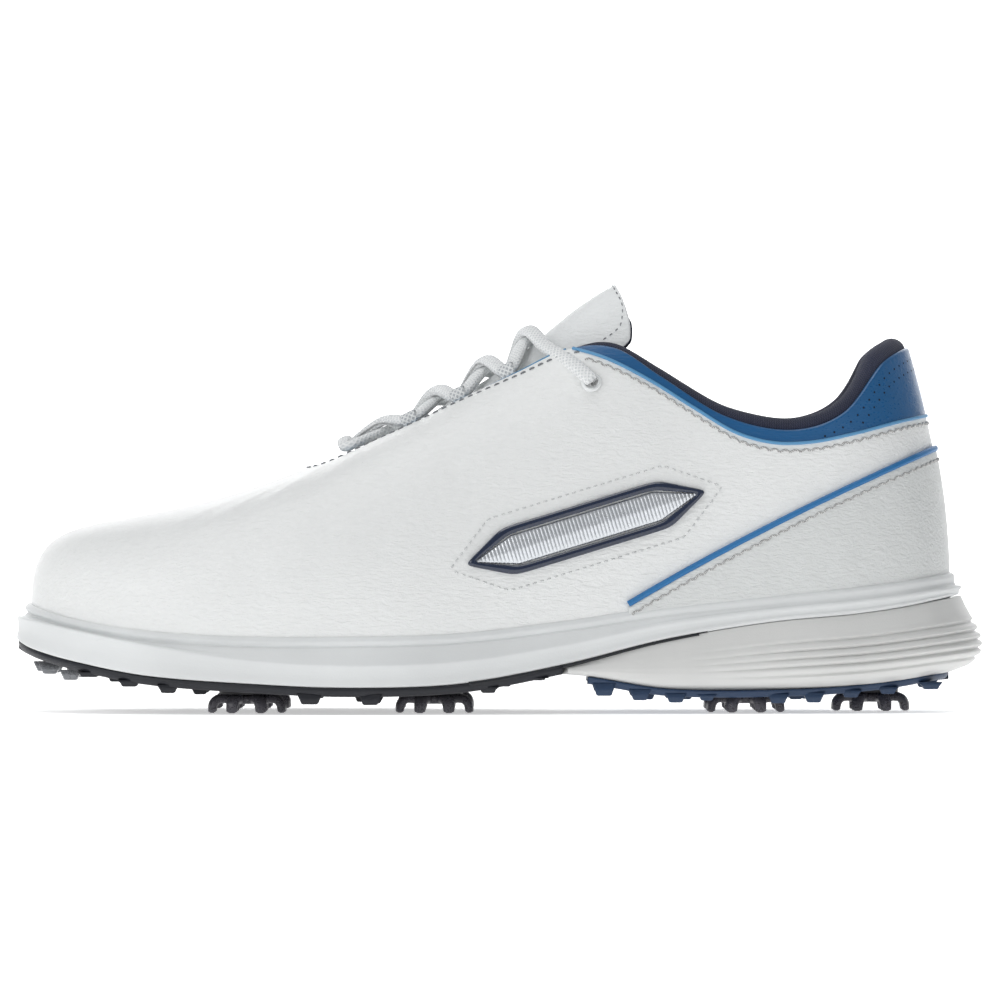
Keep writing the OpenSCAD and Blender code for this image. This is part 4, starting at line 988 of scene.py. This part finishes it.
def tongue():
    tongue_slab("tongue_leather", 0.05, TONGUE_END - 0.06, 0.97, 0.0, 1.25, tongue_leather,
                "tongue_leather", replaces=("tongue",))
    pad = tongue_slab("tongue_backing_cloth", 0.4, TONGUE_END - 0.35, 0.9, 1.3, 4.6,
                      navy_textile, "collar_textile", replaces=("tongue_foam", "tongue_lining"))
    # Edge stitches up one side, round the tip and down the other.
    up = np.linspace(4.5, 9.72, 260)
    over = np.linspace(1, -1, 41)
    a = np.concatenate([up, np.full(41, 9.72), up[::-1]])
    b = np.concatenate([np.ones(260), over, -np.ones(260)])
    b = b * np.clip(0.97 - 1.6 / tongue_row(a)[:, 2], 0.1, 1)
    path = tongue_point(a, b, -0.03)
    normals = unit(tongue_point(a, b, -1.0) - tongue_point(a, b, 0.0))
    stitches("tongue_edge_stitches", path, normals, 1.3, 2.4, 0.2, grey_thread, body="tongue")


# ---- sole -------------------------------------------------------------------------------------

def sole_points(s, inset, z):
    """Points at an inset from the outline; inset and z have one row for each s."""
    row, n = sole_row(s), outward(s)
    s_in = np.asarray(inset, float)
    x = row[:, 0][:, None] - n[:, 0][:, None] * s_in
    y = row[:, 1][:, None] - n[:, 1][:, None] * s_in
    return np.stack([x, y, np.broadcast_to(z, s_in.shape)], -1)


def grids(rows):
    """A section's insets and heights as two grids; an inset may be a single number."""
    inset = np.stack([np.broadcast_to(a, b.shape) for a, b in rows], 1)
    return inset, np.stack([b for _, b in rows], 1)


def to_middle(s, inset, z):
    """Inset points, and the middle between each row's last point and the one opposite it."""
    outer = sole_points(s, inset, z)
    return outer, (outer + sole_points(-s, inset, z))[:, -1, :2] / 2


def rounded(points):
    """Corner cutting, twice over, along the second axis of a grid."""
    for _ in range(2):
        after = np.roll(points, -1, axis=1)
        points = np.stack([0.75 * points + 0.25 * after, 0.25 * points + 0.75 * after], 2)
        points = points.reshape(points.shape[0], -1, 3)
    return points


def mix(a, b, t):
    return a + (b - a) * t


def midsole():
    s = np.arange(0, SOLE_TURN, 0.04)
    r = sole_row(s)[:, 2:]
    up, groove, crest, edge = r[:, UP_IN], r[:, GROOVE_IN], r[:, CREST_IN], r[:, EDGE_IN]
    zu, zc, ze = r[:, UP_Z], r[:, CREST_Z], r[:, EDGE_Z]
    zs = zu - 3.7
    dip = 1 - 0.85 * smooth(sole_row(s)[:, 0], 30, 100)
    rows = [
        (12, np.minimum(ze, zu - 10.1)), (edge + 2.2, ze), (edge + 0.7, ze),
        (edge + 0.1, ze + 0.4), (edge, ze + 1.1), (mix(edge, crest, 0.5) + 0.45, mix(ze, zc, 0.45)),
        (mix(edge, crest, 0.85) + 0.35, mix(ze, zc, 0.75)), (crest + 0.1, zc - 0.5),
        (crest, zc + 0.1), (crest + 0.35, zc + 0.7), (mix(crest, groove, 0.55) + 0.1, mix(zc, zs, 0.55)),
        (groove - 0.1, zs), (groove + 0.25 * dip, zs + 0.35), (groove + 0.75 * dip, zs + 0.75),
        (groove + 0.5 * dip, zs + 1.25), (groove + 0.05, zs + 1.7), (groove - 0.05, zs + 2.4),
        (groove + 0.5, zu - 0.45), (up - 0.75, zu - 0.02), (up + 0.1, zu - 0.1),
        (up + 0.5, zu - 1.0), (up + 0.5, zu - 7.1)]
    points = rounded(sole_points(s, *grids(rows)))
    loft("midsole_shell", points, midsole_tone_and_painted_shade, "midsole_white", wrap_n=True, wrap_m=True,
         replaces=("midsole",))
    shank_edge()


def shank_edge():
    """The shank's dark edge, seen as a line under the white midsole."""
    for sign, side in BOTH:
        s = np.linspace(6.1, 8.3, 90)
        s = s if sign == LATERAL else SOLE_TURN - s
        r = sole_row(s)
        p = sole_points(s, r[:, 2 + EDGE_IN][:, None] + 0.35, r[:, 2 + EDGE_Z][:, None] - 0.35)[:, 0]
        n = outward(s)
        thin = np.linspace(1.0, 0.5, 90)
        ribbon("shank_edge_" + side, p, xyz(n[:, 0], n[:, 1], 0), 1.5, 1.4, shank_finish, "shank",
               sides=10, scale=thin)


CARRIER_WALL = np.array([[9.5, 0], [4, 0.09], [1.0, 0.19], [-0.3, 0.3], [-0.3, 0.42],
                         [0.7, 0.55], [2.0, 0.66], [3.6, 0.76], [5.1, 0.88], [6.4, 1]])
VALLEYS = np.array([0.08, 0.2, 0.32, 0.43, 0.54, 0.66, 0.78])


def heel_carrier():
    s = np.linspace(7.05, SOLE_TURN - 7.05, 300)
    r = sole_row(s)
    x, r = r[:, 0], r[:, 2:]
    t = np.linspace(0, 1, 64)
    k = smooth(x, 40, 140)[:, None]
    wall = np.interp(t, CARRIER_WALL[:, 1], CARRIER_WALL[:, 0])[None, :]
    # Scalloped ribs that wrap round the heel and fade out towards the waist.
    place = np.interp(t, VALLEYS, np.arange(len(VALLEYS)))
    scallop = (1 - np.abs(np.sin(place * math.pi))) ** 1.4 * (t > 0.12) * (t < 0.7)
    ribs = smooth(x, 52, 112)[:, None] * 1.6
    inset = wall * (0.25 + 0.75 * k) + 1.2 * (1 - k) + scallop[None, :] * ribs
    z = r[:, HEEL_Z][:, None] + t[None, :] * (r[:, EDGE_Z] - 0.15 - r[:, HEEL_Z])[:, None]
    inner = np.stack([np.full(len(s), 14.0)] * 2, 1)
    inset = np.concatenate([inset, inner], 1)
    z = np.concatenate([z, np.stack([np.minimum(r[:, EDGE_Z], r[:, UP_Z] - 10.1) - 0.1,
                                     r[:, HEEL_Z]], 1)], 1)
    loft("heel_carrier_shell", sole_points(s, inset, z), carrier_finish, "carrier_grey",
         wrap_m=True, replaces=("heel_carrier",))


def plate_loop(s, rows):
    """A strip from the outline to the middle of the sole; rows are insets and heights."""
    inset, z = grids(rows)
    outer, centre = to_middle(s, inset, z)
    low = np.concatenate([centre, z[:, :1]], 1)[:, None]
    high = np.concatenate([centre, z[:, -1:]], 1)[:, None]
    return np.concatenate([low, outer, high], 1)


CLEATS = [[-77, -33], [-77, 34], [-19.5, -31], [-19.5, 27], [76.2, -22], [76.2, 20], [115.5, 0]]
CLAWS = 8
CLAW_SIDES = 14
LUG_SIDES = 24
CLAW_SWEEP = 13.1      # radius kept free round a cleat's axis, for its claws to turn in


def lug_rings(x, y, z, top, w, d):
    """Rounded rectangles from a lug's foot up to its root, which is wider."""
    a = around(LUG_SIDES)
    c, s = np.cos(a), np.sin(a)
    levels = [(z, -0.75), (z + 0.12, -0.35), (z + 0.5, -0.05), (z + 0.9, 0.05), (top, 1.1)]
    rings = []
    for height, grow in levels:
        hx, hy = w / 2 + grow, d / 2 + grow * 0.7
        px = np.sign(c) * np.minimum(np.abs(c) * 1.6, 1) ** 0.9 * hx
        py = np.sign(s) * np.minimum(np.abs(s) * 1.6, 1) ** 0.9 * hy
        rings.append(np.stack([x + px, y + py, np.full(LUG_SIDES, height)], 1))
    rings = np.array(rings)
    for centre in CLEATS:
        away = rings[..., :2] - np.array(centre)
        far = np.linalg.norm(away, axis=-1, keepdims=True)
        rings[..., :2] = centre + away * np.maximum(1, CLAW_SWEEP / far)
    return rings


def lugs(name, blocks, material, slot, **more):
    points = np.array([lug_rings(*block) for block in blocks])
    count, levels = points.shape[:2]
    one = grid_faces(levels, LUG_SIDES, wrap_m=True) + fans(levels, LUG_SIDES, False)
    mesh(name, points, repeated(one, count, levels * LUG_SIDES), material, slot, **more)


STATIONS = np.linspace(0, SOLE_END, 600)
STATION_X = sole_row(STATIONS)[:, 0]


def station(x):
    return float(np.interp(x, STATION_X, STATIONS))


def edge_y(x, sign):
    s = station(x)
    return float(sole_row(s if sign == LATERAL else SOLE_TURN - s)[1])


def tread_z(x):
    return float(sole_row(station(x))[2 + EDGE_Z]) - 2.8


def tail_z(x):
    return float(sole_row(station(x))[2 + HEEL_Z]) - 2.2


def tail_inset(x):
    return 3 + 7.5 * smooth(x, 60, 140)


EDGE_LUGS = [[-125.5, 11.2, 5.5], [-113, 8.4, 5], [-101, 6.5, 4.5], [-57.5, 3.2, 5.5],
             [-39, 3, 5], [-3, 6.6, 4.5], [11, 10.4, 7]]
HEEL_LUGS = [[32.5, 5.6, 5], [43.5, 4.2, 4.5], [54.5, 3.5, 4.5], [64, 4.1, 4], [86, 3.2, 4.5],
             [97, 3.4, 4.5], [108.5, 4.9, 4.5], [120, 5.9, 4.5], [133.5, 7.2, 5]]
FORE_LUGS = [[-118, -12, 9.5], [-118, 12, 9.5], [-102, 0, 6.6], [-92, -14, 5.6], [-92, 14, 5.6],
             [-76, 0, 4.4], [-58, -14, 3.4], [-58, 14, 3.4], [-42, 0, 3], [-38, -24, 3],
             [-38, 24, 3], [-20, 0, 3.8], [2, -13, 8], [2, 13, 8]]
TAIL_LUGS = [[46, -12, 4], [46, 12, 4], [58, 0, 3.8], [92, -10, 4], [92, 10, 4], [97, 0, 4]]


def treads():
    s = np.linspace(-7.0, 7.0, 260)
    ze = sole_row(s)[:, 2 + EDGE_Z]
    rows = [(5.0, ze - 2.8), (2.2, ze - 2.75), (1.5, ze - 2.4), (1.05, ze - 1.6), (0.9, ze - 0.9),
            (1.0, ze - 0.1)]
    loft("forefoot_tread", plate_loop(s, rows), graphite_finish, "tread_graphite", wrap_m=True,
         replaces=("outsole_forefoot",))
    blocks = [(x, edge_y(x, g) - g * 6.5, z, tread_z(x) + 0.8, w, 9)
              for x, z, w in EDGE_LUGS for g, _ in BOTH]
    blocks += [(x, y, z, tread_z(x) + 0.8, 4, 8) for x, y, z in FORE_LUGS]
    lugs("forefoot_lugs", blocks, graphite_finish, "tread_graphite")

    s = np.linspace(7.25, SOLE_TURN - 7.25, 220)
    row = sole_row(s)
    zh, e = row[:, 2 + HEEL_Z], tail_inset(row[:, 0])
    rows = [(e + 3, zh - 2.3), (e + 0.9, zh - 2.2), (e + 0.3, zh - 1.7), (e - 0.1, zh - 0.9),
            (e - 0.3, zh - 0.1)]
    loft("heel_tread", plate_loop(s, rows), blue_rubber, "tread_blue", wrap_m=True,
         replaces=("outsole_heel",))
    blocks = [(x, edge_y(x, g) - g * (float(tail_inset(x)) + 3.1), z, tail_z(x) + 0.8, w, 5)
              for x, z, w in HEEL_LUGS for g, _ in BOTH]
    blocks += [(x, y, z, tail_z(x) + 0.8, 4, 7) for x, y, z in TAIL_LUGS]
    lugs("heel_lugs", blocks, blue_rubber, "tread_blue")

    blocks = []
    for y in (-18, -6, 6, 18, 30):
        x = -141 + 0.016 * (y - 6) ** 2
        blocks.append((x, y, tread_z(x) - 3.2, tread_z(x) - 0.1, 4.5, 7))
    lugs("toe_lug_blocks", blocks, smoke_clear, "toe_clear", replaces=("toe_lugs",))


def claw_points():
    """The eight claws round the cleat's axis: arms that curve down to the ground."""
    ring = around(CLAW_SIDES)
    route = spline_path([[5.8, 4.6], [8.2, 4.7], [10.0, 4.35], [11.2, 3.1], [11.55, 1.5],
                         [11.6, 0.35]], 6)
    way = unit(np.gradient(route, axis=0))
    out = np.stack([way[:, 1], -way[:, 0]], 1)
    t = np.linspace(0, 1, len(route))
    tip = np.clip((1 - t) / 0.08, 0.55, 1)
    wide, deep = (2.35 - 0.75 * t) * tip, (1.5 - 0.5 * t) * tip
    c, d = signed_power(np.cos(ring), 0.7), signed_power(np.sin(ring), 0.7)
    r, z = (route[:, None] + out[:, None] * (deep[:, None] * d)[..., None]).transpose(2, 0, 1)
    w = wide[:, None] * c
    points = []
    for a in around(CLAWS) + math.pi / CLAWS:
        points.append(xyz(r * math.cos(a) - w * math.sin(a), r * math.sin(a) + w * math.cos(a),
                          np.maximum(z, 0)))
    return np.array(points)


def cleats():
    """Seven soft cleats: a dished hub on a stem, with claws and four key holes."""
    hub = [(0.0, 3.6), (2.4, 3.5), (3.0, 3.15), (6.4, 3.1), (7.3, 3.4), (7.6, 4.2), (7.5, 5.2),
           (6.9, 5.65), (4.95, 5.7), (4.9, 10.0), (0.0, 10.05)]
    claws = claw_points()
    n = claws.shape[1]
    one = grid_faces(n, CLAW_SIDES, wrap_m=True) + fans(n, CLAW_SIDES, False)
    faces = repeated(one, CLAWS, n * CLAW_SIDES)
    a = around(4) + math.pi / 4
    holes = xyz(4.9 * np.cos(a), 4.9 * np.sin(a), 3.05)
    for i, (x, y) in enumerate(CLEATS):
        at = np.array([x, y, 0.0])
        body = "cleat_%d" % (i + 1)
        revolve(body + "_hub", at, (0, 0, 1), hub, claw_finish, "cleat", sides=64,
                body=body, replaces=(body,))
        mesh(body + "_claws", at + claws, faces, claw_finish, "cleat", body=body)
        # The key holes are dark discs of painted shade.
        dots(body + "_key_holes", at + holes, np.tile([0, 0, -1.0], (4, 1)), 0.8, painted_hole_shade,
             "socket", lift=0.0, sides=20, body=body)


# ---- inside and emblem ------------------------------------------------------------------------

def insole():
    s = np.arange(0, SOLE_TURN, 0.08)
    row = sole_row(s)
    x, r = row[:, 0], row[:, 2:]
    e, z = r[:, UP_IN] + 4.6, r[:, UP_Z] - RIM
    rows = [(e + 6, z), (e + 1, z), (e + 0.2, z + 0.6), (e, z + 1.8), (e + 0.1, z + 3.4),
            (e + 0.8, z + 4.2), (e + 3, z + 4.4)]
    cup = 3.0 * smooth(x, 40, 120)
    inset, height = grids(rows)
    height[:, 4:] += (cup * 0.4)[:, None]
    outer, centre = to_middle(s, inset, height)
    top = np.concatenate([centre, (z + 4.2)[:, None]], 1)
    low = np.concatenate([centre, z[:, None]], 1)
    steps = np.linspace(0, 1, 9)[1:, None, None]
    inner = (outer[:, -1] * (1 - steps) + top * steps).transpose(1, 0, 2)
    points = np.concatenate([low[:, None], outer, inner], 1)
    loft("insole_pad", points, lining_textile, "insole", wrap_n=True, wrap_m=True,
         replaces=("insole",))


EMBLEM_C = np.array([27.0, 57.0])
EMBLEM_LEN, EMBLEM_W, EMBLEM_TILT = 78.0, 15.0, math.radians(17)
EMBLEM = np.array([[-0.5, 0], [-0.32, 0.5], [0, 0.5], [0.32, 0.5], [0.5, 0], [0.32, -0.5],
                   [0, -0.5], [-0.32, -0.5]])


def emblem_places(points):
    """Turns plaque coordinates in millimetres into x and z on the quarter."""
    c, s = math.cos(EMBLEM_TILT), math.sin(EMBLEM_TILT)
    return (EMBLEM_C[0] + points[..., 0] * c - points[..., 1] * s,
            EMBLEM_C[1] + points[..., 0] * s + points[..., 1] * c)


def emblem_outline(shrink, n=12):
    size = np.array([EMBLEM_LEN - 2.4 * shrink, EMBLEM_W - 2 * shrink])
    corners = EMBLEM * size
    after = np.roll(corners, -1, axis=0)
    t = np.linspace(0, 1, n, endpoint=False)[None, :, None]
    loop = (corners[:, None] * (1 - t) + after[:, None] * t).reshape(-1, 2)
    for _ in range(3):      # soften the corners
        loop = (np.roll(loop, 1, axis=0) + 2 * loop + np.roll(loop, -1, axis=0)) / 4
    return loop


def emblem_skin(points, sign, depth):
    x, z = emblem_places(points)
    u, v = find_uv(x, z, 8.2, 0.45)
    return skin(side_u(sign, u), v, depth)


def emblems():
    section = [(0.0, 0.05), (0.0, 0.8), (0.25, 1.2), (0.8, 1.5), (1.6, 1.5), (2.15, 1.25),
               (2.4, 0.85), (2.4, 0.05)]
    loops = [emblem_outline(a) for a, _ in section]
    stitch_loop = emblem_outline(-4.0, 24)
    stitch_loop = np.concatenate([stitch_loop, stitch_loop[:1]])
    # The inlay's ribs run across it, and it rises to a low ridge along the middle.
    inset, rib_pitch = 2.9, 1.15
    along, across = np.linspace(-0.5, 0.5, 420)[:, None], np.linspace(-1, 1, 17)
    reach = EMBLEM_LEN - 2.4 * inset
    half = np.interp(np.abs(along), [0, 0.32, 0.5], [0.5, 0.5, 0.02]) * (EMBLEM_W - 2 * inset)
    grid = np.stack(np.broadcast_arrays(along * reach, half * across), -1)
    ribs = 0.28 * np.abs(np.sin(along * reach * math.pi / rib_pitch)) * (1 - np.abs(across) ** 6)
    height = 0.5 + 0.55 * (1 - np.abs(across)) * np.clip(half / 4, 0, 1) + ribs
    for sign, side in BOTH:
        rim = np.stack([emblem_skin(p, sign, np.full(len(p), d))
                        for p, (_, d) in zip(loops, section)], 1)
        loft("emblem_rim_%s_shell" % side, rim, rim_finish, "emblem_rim", wrap_n=True, wrap_m=True,
             flip=sign == MEDIAL, replaces=("emblem_rim_" + side,))
        top = emblem_skin(grid, sign, height)
        low = emblem_skin(grid[:, ::-1], sign, np.full(height.shape, 0.05))
        loft("emblem_inlay_%s_ribs" % side, np.concatenate([top, low], 1), silver_finish,
             "emblem_inlay", wrap_m=True, flip=sign == MEDIAL, replaces=("emblem_inlay_" + side,))
        path = emblem_skin(stitch_loop, sign, np.full(len(stitch_loop), 0.02))
        normals = unit(emblem_skin(stitch_loop, sign, np.full(len(stitch_loop), 1.0)) - path)
        stitches("emblem_stitches_" + side, path, normals, 1.6, 2.3, 0.24, white_thread)


KEPT = {"lasting_board": plain_finish, "toe_puff": plain_finish, "heel_counter": plain_finish,
        "eyestay_stiffener": plain_finish, "air_cushion": smoke_clear,
        "cleat_sockets": socket_finish, "midfoot_shank": shank_finish}


def kept_nodes():
    """CAD pieces whose shape is right keep it and get a finish."""
    for name, material in KEPT.items():
        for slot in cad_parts[name].material_slots:
            slot.material = material


camera()
studio()
floor()
tails()
lace()
eyelets()
upper()
tongue()
midsole()
heel_carrier()
treads()
cleats()
insole()
emblems()
kept_nodes()
